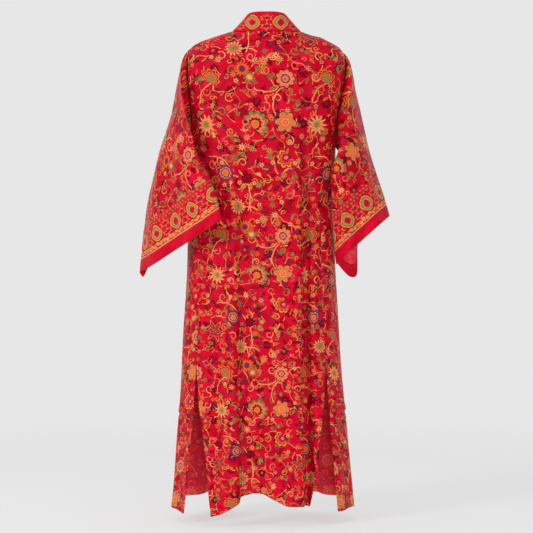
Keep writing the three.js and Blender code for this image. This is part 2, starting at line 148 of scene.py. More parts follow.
BODY = rows(
    "z half back front sway",
    (-1240, 233, 128, 142, 9),
    (-1050, 220, 120, 134, 11),
    (-850, 206, 116, 127, 14),
    (-650, 195, 112, 121, 15),
    (-450, 191, 106, 119, 13),
    (-300, 188, 104, 121, 8),
    (-220, 193, 103, 117, 5),
    (-150, 204, 100, 108, 2),
    (-90, 210, 95, 98, 0),
    (10, 206, 88, 90, 0),
)
SHOULDER = rows(
    "x left right",
    (89, 6, 6),
    (120, -3, -6),
    (150, -13, -17),
    (180, -25, -30),
    (197, -38, -47),
)
BACK_HEM = rows(
    "across z",
    (-1.0, -1214),
    (-0.8, -1210),
    (-0.45, -1209),
    (-0.21, -1194),
    (0, -1182),
    (0.3, -1183),
    (0.42, -1190),
    (0.56, -1209),
    (0.75, -1224),
    (1.0, -1235),
)
FRONT_HEM = rows(
    "across left right",
    (0, -1235, -1229),
    (0.22, -1228, -1225),
    (0.6, -1215, -1215),
    (1, -1206, -1206),
)
BACK_SPREAD = rows("down share", (0.68, 0.802), (0.76, 0.755), (0.88, 0.64), (1.0, 0.525))
FRONT_EDGE = rows(
    "down out", (0, 89), (0.06, 90), (0.13, 84), (0.3, 76), (0.6, 78), (1.0, 88)
)

# %% Folds of the body
BACK_FOLDS = rows(
    "name xTop xHem start mid hem left right",
    ("left slit ridge", 160, 132, -820, 2, 34, 40, 62),
    ("left blade fold", 104, 78, -150, 6, 20, 52, 26),
    ("middle trough", 20, 34, -420, -5, -18, 34, 62),
    ("right knife ridge", -84, -88, -130, 9, 26, 78, 13),
    ("right knife trough", -101, -104, -130, -6, -12, 13, 24),
    ("right slit ridge", -150, -126, -760, 2, 20, 18, 40),
    ("neck drag", -92, -125, -12, 2.5, 0, 16, 26),
)
FRONT_FOLDS = rows(
    "name at start mid hem reach",
    ("slit edge", 54, -700, 0, 9, 12),
    ("side pleat", 82, -500, 1, 9, 12),
    ("side trough", 100, -420, -4, -13, 12),
    ("hip fold", 117, -360, 5, 16, 12),
    ("thigh trough", 133, -420, -4, -14, 11),
    ("front fold", 147, -260, 4, 13, 10),
)
print(len(BACK_FOLDS), "folds on the back,", len(FRONT_FOLDS), "on each front")


# %% The body as one surface
ROUNDING_DROP, ROUNDING_START, ROUNDING_END = (100, 128), (2, 1.55), (2, 1.08)


def end_name(side):
    return "left" if side > 0 else "right"


def signed_power(value, power):
    return math.copysign(abs(value) ** power, value)


def bump(offset, left, right):
    u = offset / left if offset > 0 else -offset / right
    return (1 + math.cos(math.pi * u)) / 2 if u < 1 else 0


def fold_depth(fold, z):
    middle = (fold["start"] + HEM_Z) / 2
    if z > middle:
        return fold["mid"] * ease((fold["start"] - z) / (fold["start"] - middle))
    return mix(fold["mid"], fold["hem"], clamp01((middle - z) / (middle - HEM_Z)) ** 1.3)


def back_fold_height(x, z):
    total = 0
    for fold in BACK_FOLDS:
        crest = mix(fold["xTop"], fold["xHem"], clamp01(z / HEM_Z))
        total += fold_depth(fold, z) * bump(x - crest, fold["left"], fold["right"])
    return total


def front_fold_height(angle, z):
    return sum(
        fold_depth(fold, z) * bump(angle - fold["at"], fold["reach"], fold["reach"])
        for fold in FRONT_FOLDS
    )


def section_point(share, is_back, z, height):
    """A point of the section at z, pushed out along its normal by the folds' height there."""
    half = read(BODY, "z", "half", z)
    depth = read(BODY, "z", "back" if is_back else "front", z)
    level = max(0, 1 - abs(share) ** ROUNDNESS) ** (1 / ROUNDNESS)
    x = read(BODY, "z", "sway", z) + half * share
    turn = 1 if is_back else -1
    normal = Vector(
        (signed_power(share, ROUNDNESS - 1) / half, turn * level ** (ROUNDNESS - 1) / depth)
    ).normalized()
    return Vector((x, turn * depth * level)) + normal * height(x, z)


def round_over(top, below, drop, near_neck):
    """Carries the cloth over from the shoulder line to its section, more sharply near the neck."""
    fallen = clamp01(drop / mix(*ROUNDING_DROP, near_neck))
    share = 1 - (1 - fallen) ** mix(*ROUNDING_START, near_neck)
    share **= 1 / mix(*ROUNDING_END, near_neck)
    return mix(top.x, below.x, share), mix(top.y, below.y, share)


def edge_angle(down, is_back):
    """Where a panel ends, in degrees round the body: at the armhole, then at the side seam."""
    if down < UNDERARM:
        opened = ARMHOLE_ANGLE * math.sin(math.pi * down / UNDERARM) ** 0.6
        return 90 - opened if is_back else 90 + opened
    return mix(90, SEAM_ANGLE, ease((down - UNDERARM) / (SEAM_SETTLED - UNDERARM)))


def share_at(angle):
    return abs(math.sin(math.radians(angle))) ** (2 / ROUNDNESS)


# %% The back and the fronts as functions
def back_top(across):
    x = SHOULDER_HALF * across
    if abs(x) >= NECK_HALF:
        return Vector((x, 0, read(SHOULDER, "x", end_name(x), abs(x))))
    level = math.sqrt(1 - (x / NECK_HALF) ** 2)
    return Vector((x, NAPE_DEPTH * level, SHOULDER[0]["left"] - NAPE_DROP * level))


def back_point(across, down):
    top = back_top(across)
    z = mix(top.z, read(BACK_HEM, "across", "z", across), down)
    if down < SLIT_TOP:
        spread = share_at(edge_angle(down, True))
    else:
        spread = read(BACK_SPREAD, "down", "share", down)
    below = section_point(across * spread, True, z, back_fold_height)
    near_neck = ease((NECK_HALF * 1.5 - abs(top.x)) / NECK_HALF)
    x, y = round_over(top, below, top.z - z, near_neck)
    return Vector((x, y, z))


def front_point(side, across, down):
    x = mix(SHOULDER_HALF, NECK_HALF, across)
    top = Vector((side * x, 0, read(SHOULDER, "x", end_name(side), x)))
    slit = clamp01((down - SLIT_TOP) / (1 - SLIT_TOP))
    own_slit = read(FRONT_HEM, "across", end_name(side), 0)
    sewn_to = mix(read(BACK_HEM, "across", "z", side), own_slit, slit)
    own = read(FRONT_HEM, "across", end_name(side), across)
    z = mix(top.z, mix(sewn_to, own, ease(across / 0.2)), down)
    out = read(FRONT_EDGE, "down", "out", down) / read(BODY, "z", "half", z)
    last = 180 - math.degrees(math.asin(out ** (ROUNDNESS / 2)))
    first = edge_angle(down, False) + SLIT_SWING[end_name(side)] * ease(slit)
    angle = mix(first, last, across)

    def height(world_x, level_z):
        folds = front_fold_height(angle, level_z)
        if slit > 0:
            return folds
        return mix(back_fold_height(world_x, level_z), folds, ease(across / 0.12))

    below = section_point(side * share_at(angle), angle < 90, z, height)
    x, y = round_over(top, below, top.z - z, ease((across - 0.5) / 0.5))
    return Vector((x, y, z))


# %% [markdown]
# ## How the sleeves hang
# A kimono sleeve is a wide tube that hangs from the arm in two layers. Its table says where its
# upper and lower folds run, and how far each layer stands off the line between them. Skinning a
# curve would be quicker, but then both layers would be alike, and cloth on an arm never is.

# %% Sizes of the sleeves
LEFT_SLEEVE = rows(
    "along over under back front pinch",
    (0, (197, 0, -38), (195, 2, -300), (0, 34, 0), (0, -34, 0), 1),
    (0.1, (216, 0, -63), (201, 30, -311), (6, 52, 0), (10, -46, 0), 1),
    (0.25, (240, -14, -166), (178, 78, -326), (-8, 62, 0), (16, -44, -4), 1),
    (0.5, (275, -44, -318), (147, 122, -374), (34, 40, 0), (2, -8, -4), 1.1),
    (0.75, (316, -30, -468), (126, 146, -428), (20, 40, 0), (-4, -26, 4), 1.2),
    (1, (330, -2, -621), (113, 156, -488), (-2, 36, -3), (3, -34, 9), 1.3),
)
RIGHT_SLEEVE = rows(
    "along over under back front pinch",
    (0, (-197, 0, -47), (-179, 2, -300), (0, 34, 0), (0, -34, 0), 1),
    (0.1, (-214, 0, -72), (-186, 32, -316), (-4, 50, 0), (-8, -48, 0), 1),
    (0.25, (-236, -6, -168), (-167, 66, -352), (0, 58, 0), (-12, -58, -4), 1),
    (0.5, (-266, -22, -293), (-166, 78, -434), (-10, 56, 0), (-14, -56, -8), 1.05),
    (0.75, (-296, -10, -388), (-170, 66, -523), (-2, 56, 3), (-8, -58, -4), 1.1),
    (1, (-320, 4, -475), (-180, 30, -600), (5, 56, -1), (3, -50, 2), 1.15),
)
LEFT_SLEEVE_FOLDS = rows(
    "name turn before after out drop swing",
    ("elbow ridge", 50, 22, 26, 6, 0, 0),
    ("back trough", 88, 26, 20, -8, 0, 0),
    ("lower ridge", 128, 22, 24, 6, 0, 0),
    ("front trough", 262, 26, 22, -5, 0, 0),
    ("front ridge", 306, 20, 26, 6, 0, 0),
    ("outer corner", 344, 34, 20, 0, 16, -6),
)
RIGHT_SLEEVE_FOLDS = rows(
    "name turn before after out drop swing",
    ("elbow ridge", 58, 26, 20, 6, 0, 0),
    ("back trough", 96, 20, 26, -7, 0, 0),
    ("lower ridge", 138, 24, 20, 5, 0, 0),
    ("hanging corner", 242, 50, 24, 6, 66, -19),
    ("front ridge", 310, 22, 24, 6, 0, 0),
)


# %% The sleeves as functions
FOLDS_BEGIN, FOLDS_GROW, THIN_LAYER, ARMHOLE_GATHER = 0.15, 0.6, 20, 1.3


def sleeve_section(table, along):
    return {
        "over": read_point(table, "along", "over", along),
        "under": read_point(table, "along", "under", along),
        "back": read_point(table, "along", "back", along),
        "front": read_point(table, "along", "front", along),
        "pinch": read(table, "along", "pinch", along),
    }


def sleeve_base(section, folds, along, turn):
    angle = math.radians(turn)
    middle = (section["over"] + section["under"]) / 2
    layer = section["back" if turn < 180 else "front"]
    point = middle + (section["over"] - middle) * math.cos(angle)
    point += layer * abs(math.sin(angle)) ** section["pinch"]
    for fold in folds:
        share = bump(turn - fold["turn"], fold["after"], fold["before"])
        share *= ease((along - FOLDS_BEGIN) / FOLDS_GROW)
        point += layer * (fold["out"] * share / max(THIN_LAYER, layer.length))
        point.z -= fold["drop"] * share * along
        point.x += fold["swing"] * share * along
    return point


def armhole_point(side, turn):
    if turn <= 180:
        return back_point(side, UNDERARM * (turn / 180) ** ARMHOLE_GATHER)
    return front_point(side, 0, UNDERARM * ((360 - turn) / 180) ** ARMHOLE_GATHER)


SLEEVES = {1: (LEFT_SLEEVE, LEFT_SLEEVE_FOLDS), -1: (RIGHT_SLEEVE, RIGHT_SLEEVE_FOLDS)}


def sleeve_point(side, along, turn):
    """A point of a sleeve, along it from 0 to 1 and turned round the arm, joined to its armhole."""
    table, folds = SLEEVES[side]
    turn %= 360
    point = sleeve_base(sleeve_section(table, along), folds, along, turn)
    kept = clamp01(1 - along / ARMHOLE_KEPT) ** 2
    if kept:
        first = sleeve_base(sleeve_section(table, 0), folds, 0, turn)
        point += (armhole_point(side, turn) - first) * kept
    return point


# %% [markdown]
# ## Laying cloth
# Real cloth is flat and has a direction: its threads and its print run up and across each panel.
# So every panel starts as one flat grid, with a UV map that keeps each point's place on the flat
# cloth in metres. The grid's points are then carried to where the drape puts them, and Solidify
# gives the sheet its thickness on the inside. Small creases are added along the surface's normals.

# %% Measuring a grid
def gathered(count, gather=0.0):
    """Steps from 0 to 1, closer together at both ends where gather is above 0."""
    steps = np.linspace(0, 1, count + 1)
    return steps - gather * np.sin(2 * math.pi * steps) / (2 * math.pi)


def grid_normals(grid):
    across = np.gradient(grid, axis=1)
    down = np.gradient(grid, axis=0)
    normals = np.cross(down, across)
    return normals / np.maximum(np.linalg.norm(normals, axis=2, keepdims=True), 1e-9)


def run_length(grid, axis):
    """How far each point is from its row's or column's start, measured along the cloth."""
    steps = np.linalg.norm(np.diff(grid, axis=axis), axis=2)
    start = np.zeros_like(np.take(steps, [0], axis=axis))
    return np.concatenate([start, np.cumsum(steps, axis=axis)], axis=axis)


# %% The place on the flat cloth
def flat_map(grid, anchor, down, right, first=0):
    """Where each point lies on the flat cloth, in mm: v along the direction down and u across it.
    Rows above the first one go over the shoulder and are measured along the cloth."""
    v = grid @ np.array(down)
    run = run_length(grid, 0)
    v[:first] = v[first] - (run[first] - run[:first])
    level = (np.diff(grid, axis=1) ** 2).sum(axis=2) - np.diff(v, axis=1) ** 2
    u = np.pad(np.cumsum(np.sqrt(np.maximum(level, 0)), axis=1), ((0, 0), (1, 0)))
    spine = np.cumsum(np.diff(grid[:, anchor], axis=0) @ np.array(right))
    u += (np.pad(spine, (1, 0)) - u[:, anchor])[:, None]
    return u, v


# %% [markdown]
# ## Opening out a sleeve
# Measured in one direction, a sleeve's back half lies flat, but its front half would smear the
# print. So the front starts as a mirror image of the back, as when a folded pattern piece is opened
# out. Then every small square pushes and pulls its corners until its sides and diagonals are as
# long as on the cloth. A coarse grid goes first, because it settles the large shape quickly.
# Blender's own unwrap could lay it flat too, but wouldn't keep the back half where its print is.

# %% Opening out
RELAX_ROUNDS, RELAX_STEP = ((12, 400), (6, 250), (3, 120), (1, 20)), 1.6
SIDES_AND_DIAGONALS = (
    (np.s_[:, :-1], np.s_[:, 1:]),
    (np.s_[:-1, :], np.s_[1:, :]),
    (np.s_[:-1, :-1], np.s_[1:, 1:]),
    (np.s_[:-1, 1:], np.s_[1:, :-1]),
)


def opened_at(fold, cloth_map, fixed):
    """The map with its fixed columns mirrored at the fold, a first guess for the other side."""
    flat = np.stack(cloth_map, axis=2)
    line = flat[-1, fold] - flat[0, fold]
    line /= np.linalg.norm(line)
    off = flat[:, ::-1] - flat[:, [fold]]
    mirrored = flat[:, [fold]] + 2 * (off @ line)[:, :, None] * line - off
    return np.where(fixed[None, :, None], flat, mirrored)


def spread(coarse, down, across, shape):
    """Values known at some rows and columns, blended over the whole grid."""
    columns, rows_down = np.arange(shape[1]), np.arange(shape[0])
    layers = []
    for layer in np.moveaxis(coarse, 2, 0):
        wide = np.array([np.interp(columns, across, row) for row in layer])
        layers.append(np.array([np.interp(rows_down, down, column) for column in wide.T]).T)
    return np.stack(layers, axis=2)


def relaxed(flat, grid, fixed):
    """The same flat places, with the free columns moved until they keep the cloth's own lengths."""
    for stride, rounds in RELAX_ROUNDS:
        down, across = (np.arange(0, count, stride) for count in grid.shape[:2])
        shape, old = grid[np.ix_(down, across)], flat[np.ix_(down, across)]
        free, new = ~fixed[across][None, :, None], old.copy()
        goals = [
            np.linalg.norm(shape[b] - shape[a], axis=2, keepdims=True)
            for a, b in SIDES_AND_DIAGONALS
        ]
        for _ in range(rounds):
            push, count = np.zeros_like(new), np.zeros(new.shape[:2] + (1,))
            for (a, b), goal in zip(SIDES_AND_DIAGONALS, goals):
                span = new[b] - new[a]
                length = np.maximum(np.linalg.norm(span, axis=2, keepdims=True), 1e-6)
                share = span * (1 - goal / length) / 2
                push[a] += share
                push[b] -= share
                count[a] += 1
                count[b] += 1
            new += np.where(free, RELAX_STEP * push / count, 0)
        flat += spread(new - old, down, across, grid.shape)
    return flat


def along_last_row(flat):
    """Each place's nearest point of the last row: how far along the row it is, and how far away."""
    far, run = np.full(flat.shape[:2], np.inf), np.zeros(flat.shape[:2])
    before = 0
    for start, end in zip(flat[-1, :-1], flat[-1, 1:]):
        length = np.linalg.norm(end - start)
        share = np.clip((flat - start) @ (end - start) / length**2, 0, 1)
        away = np.linalg.norm(flat - start - share[:, :, None] * (end - start), axis=2)
        run = np.where(away < far, before + share * length, run)
        far = np.minimum(far, away)
        before += length
    return run, far


# %% Laying a panel
CLOTH_THICKNESS = 0.0012
MERGE_WITHIN = 0.00002
FAR_FROM_BORDER = 9.0


def lay_cloth(name, grid, cloth_map, border=None, thickness=CLOTH_THICKNESS):
    """A panel from its grid of places in mm, rows down it and columns to the right as seen from
    outside, with its place on the flat cloth and, where it has one, on the printed border."""
    down_count, across_count = grid.shape[0] - 1, grid.shape[1] - 1
    u, v = cloth_map
    bm = bmesh.new()
    bmesh.ops.create_grid(bm, x_segments=across_count, y_segments=down_count, size=0.5)
    cloth = bm.loops.layers.uv.new("cloth")
    edge = bm.loops.layers.uv.new("border")
    place = {}
    for vert in bm.verts:
        j = round((vert.co.x + 0.5) * across_count)
        i = round((0.5 - vert.co.y) * down_count)
        place[vert] = (i, j)
        vert.co = Vector(grid[i, j]) * MM
    for face in bm.faces:
        for loop in face.loops:
            i, j = place[loop.vert]
            loop[cloth].uv = (u[i, j] * MM, -v[i, j] * MM)
            if border is None:
                loop[edge].uv = (0, FAR_FROM_BORDER)
            else:
                loop[edge].uv = (border[0][i, j] * MM, border[1][i, j] * MM)
    bmesh.ops.remove_doubles(bm, verts=bm.verts, dist=MERGE_WITHIN)
    for face in bm.faces:
        face.smooth = True
    mesh = bpy.data.meshes.new(name)
    bm.to_mesh(mesh)
    bm.free()
    piece = bpy.data.objects.new(name, mesh)
    bpy.context.collection.objects.link(piece)
    wall = piece.modifiers.new("thickness", "SOLIDIFY")
    wall.thickness = thickness
    wall.offset = -1
    wall.use_even_offset = False
    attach(piece, "root")
    return piece


# %% [markdown]
# ## Small creases
# Silk satin never hangs quite smooth. Slow ripples, lines from the folded package and a few pressed
# upright creases are real shapes here, because a bump map would leave outline and shadows too
# clean. Each kind fades out near the seams, where cloth is held. Hems and seams are small steps.

# %% Sizes of the creases
RIPPLES = rows(
    "length lean height",
    (190, 12, 1.3),
    (133, -20, 1.0),
    (88, 8, 0.75),
    (61, -34, 0.5),
    (47, 27, 0.36),
    (33, -10, 0.2),
)
PACKING_CREASES = rows("z depth width", (-680, 1.8, 5), (-985, 3.4, 4.5))
PRESSED_CREASES = rows(
    "xTop xHem start end depth width",
    (71, 60, -250, -1230, 9, 8),
    (-99, -103, -200, -1230, 12, 9),
    (120, 128, -700, -1230, 2.5, 7),
    (-20, -34, -560, -1230, 3, 12),
)


# %% The creases as heights
def ripples(grid, seed):
    """Slow waves that lean and wander, so that no two of them run side by side for long."""
    phases = np.random.default_rng(seed).uniform(0, 2 * math.pi, (len(RIPPLES), 2))
    x, z = grid[:, :, 0] + 0.7 * grid[:, :, 1], grid[:, :, 2]
    height = np.zeros_like(x)
    for ripple, (first, second) in zip(RIPPLES, phases):
        lean = math.radians(ripple["lean"])
        along = (x * math.cos(lean) + 0.35 * z * math.sin(lean)) * 2 * math.pi / ripple["length"]
        height += ripple["height"] * np.sin(along + first + 0.8 * np.sin(z / 170 + second))
    return height


def packing(grid):
    """The level lines that a folded package leaves, each a groove with a low ridge above it."""
    height = np.zeros(grid.shape[:2])
    for crease in PACKING_CREASES:
        wander = 3 * np.sin(grid[:, :, 0] / 47) + 2 * np.sin(grid[:, :, 0] / 19 + 1)
        off = grid[:, :, 2] - crease["z"] - wander
        fade = 0.55 + 0.45 * np.sin(grid[:, :, 0] / 31 + crease["z"])
        height -= crease["depth"] * fade * np.exp(-((off / crease["width"]) ** 2))
        height += 0.6 * crease["depth"] * fade * np.exp(-(((off - 9) / 9) ** 2))
    return height


def pressed(grid):
    """The long upright creases, each one steep on its near side and soft on its far side."""
    height = np.zeros(grid.shape[:2])
    for crease in PRESSED_CREASES:
        share = np.clip(grid[:, :, 2] / HEM_Z, 0, 1)
        line = crease["xTop"] + (crease["xHem"] - crease["xTop"]) * share
        line = line + 2.2 * np.sin(grid[:, :, 2] / 83) + 1.1 * np.sin(grid[:, :, 2] / 31)
        run = (crease["start"] - grid[:, :, 2]) / 260
        lasting = np.clip(run, 0, 1) * np.clip((grid[:, :, 2] - crease["end"] + 40) / 60, 0.4, 1)
        off = (grid[:, :, 0] - line) / crease["width"]
        height -= crease["depth"] * lasting * np.exp(-(off**2))
        height += 0.45 * crease["depth"] * lasting * np.exp(-(((off - 2.4) / 1.6) ** 2))
    return height


# %% Seams and hems
STITCH_INSET, HEM_STITCH_INSET = 2.5, 2
seams = []


def seam_dip(distance, depth=0.9, width=3.0):
    return -depth * np.exp(-((distance / width) ** 2))


def raised(grid, height):
    return grid + grid_normals(grid) * height[:, :, None]


def edge_distances(grid):
    across, down = run_length(grid, 1), run_length(grid, 0)
    return {
        "left": across,
        "right": across[:, [-1]] - across,
        "top": down,
        "bottom": down[[-1]] - down,
    }


def seam_line(grid, edge, distance):
    """The line on a panel that runs beside one of its edges, this many millimetres in from it."""
    far = edge_distances(grid)[edge]
    lines = grid if edge in ("left", "right") else grid.transpose(1, 0, 2)
    far = far if edge in ("left", "right") else far.T
    step = -1 if edge in ("right", "bottom") else 1
    return np.array(
        [
            [np.interp(distance, off, line[:, k]) for k in range(3)]
            for line, off in zip(lines[:, ::step], far[:, ::step])
        ]
    )


def settled(distance, reach=16):
    return 1 - np.exp(-((distance / reach) ** 2))


def hem_fold(distance, width, height=0.5):
    folded = height * (1 - np.tanh((distance - width) / 1.6)) / 2
    return folded + seam_dip(distance - width + 1.5, 0.35, 1.2)


# %% [markdown]
# ## The back panel
# The back of a kimono is cut as one tall panel here. It hangs from the shoulder seams, goes round
# to the side seams, and is free below the side slits. A coarse grid with a Subdivision modifier
# would be lighter, but would round off the knife fold. A dense grid keeps it sharp, so light and
# shadow come from the mesh and not from the material.

# %% The print on a panel
PRINT_FROM, PRINT_TO, PRINT_STEP = -150, 1400, 5
PRINT_SIZE = rows("down size", (0, 1.22), (250, 1.17), (630, 1.0), (980, 0.94), (1240, 0.9))


def on_print(cloth_map, start):
    """Lays the print on the cloth. It is drawn larger at the shoulders than at the hem."""
    u, v = cloth_map
    downs = np.arange(PRINT_FROM, PRINT_TO + PRINT_STEP, PRINT_STEP)
    sizes = np.array([read(PRINT_SIZE, "down", "size", down) for down in downs])
    lengths = PRINT_STEP / ((sizes[1:] + sizes[:-1]) / 2)
    printed_length = np.concatenate([[0], np.cumsum(lengths)])
    printed_length -= np.interp(0, downs, printed_length)
    across = u / np.interp(v, downs, sizes) + start[0]
    return across, np.interp(v, downs, printed_length) + start[1]


# %% The relief of a panel
BACK_ROWS = 270
HEM_DEPTH, SLIT_HEM, SLIT_CLOSES_IN = 14, 8, 0.008


def cloth_grid(point, columns, rows_down):
    return np.array([[point(s, t) for s in columns] for t in rows_down])


def panel_relief(grid, seed, side_edges, downs):
    """Creases, seams and hems: side edges are sewn above the slits and hemmed below them."""
    far = edge_distances(grid)
    sewn = (1 - np.tanh((downs[:, None] - SLIT_TOP) / SLIT_CLOSES_IN)) / 2
    near = np.minimum(far["left"], far["right"])
    height = (ripples(grid, seed) + packing(grid)) * settled(near) * settled(far["top"])
    height = height + seam_dip(far["top"])
    for edge in side_edges:
        height = height + seam_dip(far[edge]) * sewn
    for edge in side_edges:
        height = height + hem_fold(far[edge], SLIT_HEM) * (1 - sewn)
    return height + hem_fold(far["bottom"], HEM_DEPTH)


def sew_hems(shape, side_edges):
    """Notes the lines of stitches at the top of a panel's hem and along its slits."""
    seams.append(seam_line(shape, "bottom", HEM_DEPTH - HEM_STITCH_INSET))
    slit = shape[round(SLIT_TOP * BACK_ROWS) :]
    seams.extend(seam_line(slit, edge, SLIT_HEM - HEM_STITCH_INSET) for edge in side_edges)


# %% Back
BACK_COLUMNS, SHOULDER_ROWS = 100, 27
BACK_CREASE_SEED, BACK_PRINT_START, EDGE_KEPT_FLAT = 4, (70, -35), 20
BOTH_SIDES = ("left", "right")

downs = gathered(BACK_ROWS)
back_grid = cloth_grid(
    lambda s, t: back_point(1 - 2 * s, t), gathered(BACK_COLUMNS, 0.5), downs
)
back_far = edge_distances(back_grid)
inside_edges = settled(np.minimum(back_far["left"], back_far["right"]), EDGE_KEPT_FLAT)
back_grid = raised(back_grid, pressed(back_grid) * inside_edges)
back_map = flat_map(back_grid, BACK_COLUMNS // 2, (0, 0, -1), (-1, 0, 0), SHOULDER_ROWS)
back_shape = raised(back_grid, panel_relief(back_grid, BACK_CREASE_SEED, BOTH_SIDES, downs))
back = lay_cloth("back_panel", back_shape, on_print(back_map, BACK_PRINT_START))
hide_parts("back")
sew_hems(back_shape, BOTH_SIDES)

# %% [markdown]
# ## The two fronts
# Each front panel runs from the side seam to the collar band. Below the slit it swings free of the
# back, so its inner face shows past the back's edge, and it needs the same print and hem. A Mirror
# modifier would make both at once, but the robe leans and its slits open unevenly.

# %% Fronts
FRONT_COLUMNS, FRONT_CREASE_SEED, FRONT_PRINT_START = 66, 9, (410, 60)
fronts = {}
for side in (1, -1):
    sewn_side, open_side = ("right", "left") if side > 0 else ("left", "right")
    grid = cloth_grid(
        lambda s, t: front_point(side, 1 - s if side > 0 else s, t),
        gathered(FRONT_COLUMNS, 0.4),
        downs,
    )
    relief = panel_relief(grid, FRONT_CREASE_SEED + side, (sewn_side,), downs)
    relief += seam_dip(edge_distances(grid)[open_side])
    shape = raised(grid, relief)
    front_map = flat_map(grid, FRONT_COLUMNS // 2, (0, 0, -1), (1, 0, 0), SHOULDER_ROWS)
    start = (FRONT_PRINT_START[0] * side, FRONT_PRINT_START[1])
    front = lay_cloth(f"front_panel_{end_name(side)}", shape, on_print(front_map, start))
    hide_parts(f"front_{end_name(side)}")
    sew_hems(shape, (sewn_side,))
    fronts[side] = front

# %% [markdown]
# ## The sleeves and their cuff bands
# A sleeve is one panel folded over the arm and sewn below it into a tube. Its grid goes once round
# the arm, starting at the underarm seam, and its two edges are merged there. A cylinder bent by
# modifiers would twist its print. The border runs along the cuff, so a second UV map holds how far
# each point is from the cuff's seam. The band is a piece of its own, as it is on the real robe.

# %% The seam of a cuff
SLEEVE_TURNS = 132
BAND_WIDTH, CUFF_END, SHORTEST_FALL = 27, 0.1, 18


def cuff_axes(side):
    """Two directions in the plane of the cuff band: across the cuff, and down to its edge."""
    cuff = SLEEVES[side][0][-1]
    across = (Vector(cuff["under"]) - Vector(cuff["over"])).normalized()
    return across * side, across.cross(Vector((0, side, 0))).normalized()


def cuff_seam(side, turn):
    """How far along the sleeve its cuff band is sewn on, so that the band is equally wide."""
    last = sleeve_point(side, 1, turn) - sleeve_point(side, 1 - CUFF_END, turn)
    return 1 - CUFF_END * BAND_WIDTH / max(last.dot(cuff_axes(side)[1]), SHORTEST_FALL)


def turns_round(side):
    """The turns round the arm at a sleeve's columns, each with its place of the cuff's seam."""
    return [(turn, cuff_seam(side, turn)) for turn in 180 + side * 360 * gathered(SLEEVE_TURNS)]


def sleeve_grid(side, alongs):
    """A grid round the arm, from alongs(a column's place of the cuff seam)."""
    columns = [
        [sleeve_point(side, along, turn) for along in alongs(sewn_at)]
        for turn, sewn_at in turns_round(side)
    ]
    return np.array(columns).transpose(1, 0, 2)


# %% Sleeves
SLEEVE_ALONGS, SLEEVE_GATHER, SLEEVE_CREASE_SEED = 116, 1.1, 21
BORDER_START = {1: 61, -1: 19}
SLEEVE_PRINT_START = {1: (135, -101), -1: (-40, 140)}


def sleeve_relief(grid, seed):
    far = edge_distances(grid)
    near_seam = np.minimum(far["left"], far["right"])
    relief = ripples(grid, seed) * settled(far["top"], 20) * settled(far["bottom"], 20)
    relief = relief * settled(near_seam) + seam_dip(near_seam) * settled(far["bottom"], 6)
    return relief + (seam_dip(far["top"], 1.1) + seam_dip(far["bottom"], 0.6))


def sleeve_flat(side, grid, anchor):
    """The sleeve opened out at the fold over the arm, with its back half left where it is."""
    across, down = cuff_axes(side)
    fold = SLEEVE_TURNS // 2
    behind = np.arange(SLEEVE_TURNS + 1) * side >= fold * side
    flat = opened_at(fold, flat_map(grid, anchor, down, across), behind)
    return relaxed(flat, grid, behind)


def make_sleeve(side):
    alongs = gathered(SLEEVE_ALONGS) ** SLEEVE_GATHER
    grid = sleeve_grid(side, lambda sewn_at: sewn_at * alongs)
    shape = raised(grid, sleeve_relief(grid, SLEEVE_CREASE_SEED + side))
    middle_of_back = SLEEVE_TURNS * (3 if side > 0 else 1) // 4
    flat = sleeve_flat(side, grid, middle_of_back)
    along, away = along_last_row(flat)
    sleeve = lay_cloth(
        f"sleeve_panel_{end_name(side)}",
        shape,
        np.moveaxis(flat + SLEEVE_PRINT_START[side], 2, 0),
        (along - along[-1, middle_of_back] + BORDER_START[side], away),
    )
    seams.extend(seam_line(shape, edge, STITCH_INSET) for edge in ("top", "left"))
    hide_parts(f"sleeve_{end_name(side)}")
    return sleeve


sleeves = {side: make_sleeve(side) for side in (1, -1)}

# %% Cuff bands
CUFF_ALONGS = 8
BAND_THICKNESS, BAND_PROUD = 0.0022, 0.5


def make_cuff(side):
    grid = sleeve_grid(side, lambda sewn_at: mix(sewn_at, 1, gathered(CUFF_ALONGS)))
    far = edge_distances(grid)
    relief = BAND_PROUD + seam_dip(far["top"], 1.1, 2) + seam_dip(far["bottom"], 0.6, 1.5)
    shape = raised(grid, relief)
    cuff = lay_cloth(
        f"cuff_band_{end_name(side)}_cloth",
        shape,
        (run_length(grid, 1), run_length(grid, 0)),
        thickness=BAND_THICKNESS,
    )
    seams.extend(seam_line(shape, edge, STITCH_INSET) for edge in ("top", "bottom"))
    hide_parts(f"cuff_band_{end_name(side)}")
    return cuff


cuffs = {side: make_cuff(side) for side in (1, -1)}

# %% [markdown]
# ## The collar band
# The collar of a kimono is one long folded band, sewn down both front edges and round the back of
# the neck. Here its grid follows that seam from hem to hem, and each point leans away from the seam
# by its share of the band's width, with a slight swell because the band is folded and filled. A
# curve with a flat bevel would twist where the band turns from the neck to the front edges.

# %% The seam of the collar
COLLAR_LEAN = rows(
    "turn lean",
    (0, (0, -0.22, 0.975)),
    (45, (-0.42, -0.1, 0.92)),
    (90, (-0.77, 0, 0.66)),
)
COLLAR_FLAT_BY = 0.1
COLLAR_SIDE_COLUMNS, COLLAR_NECK_COLUMNS = 170, 56


def lean_at_neck(turn):
    lean = read_point(COLLAR_LEAN, "turn", "lean", abs(turn))
    return Vector((math.copysign(lean.x, -turn) if turn else 0, lean.y, lean.z)).normalized()


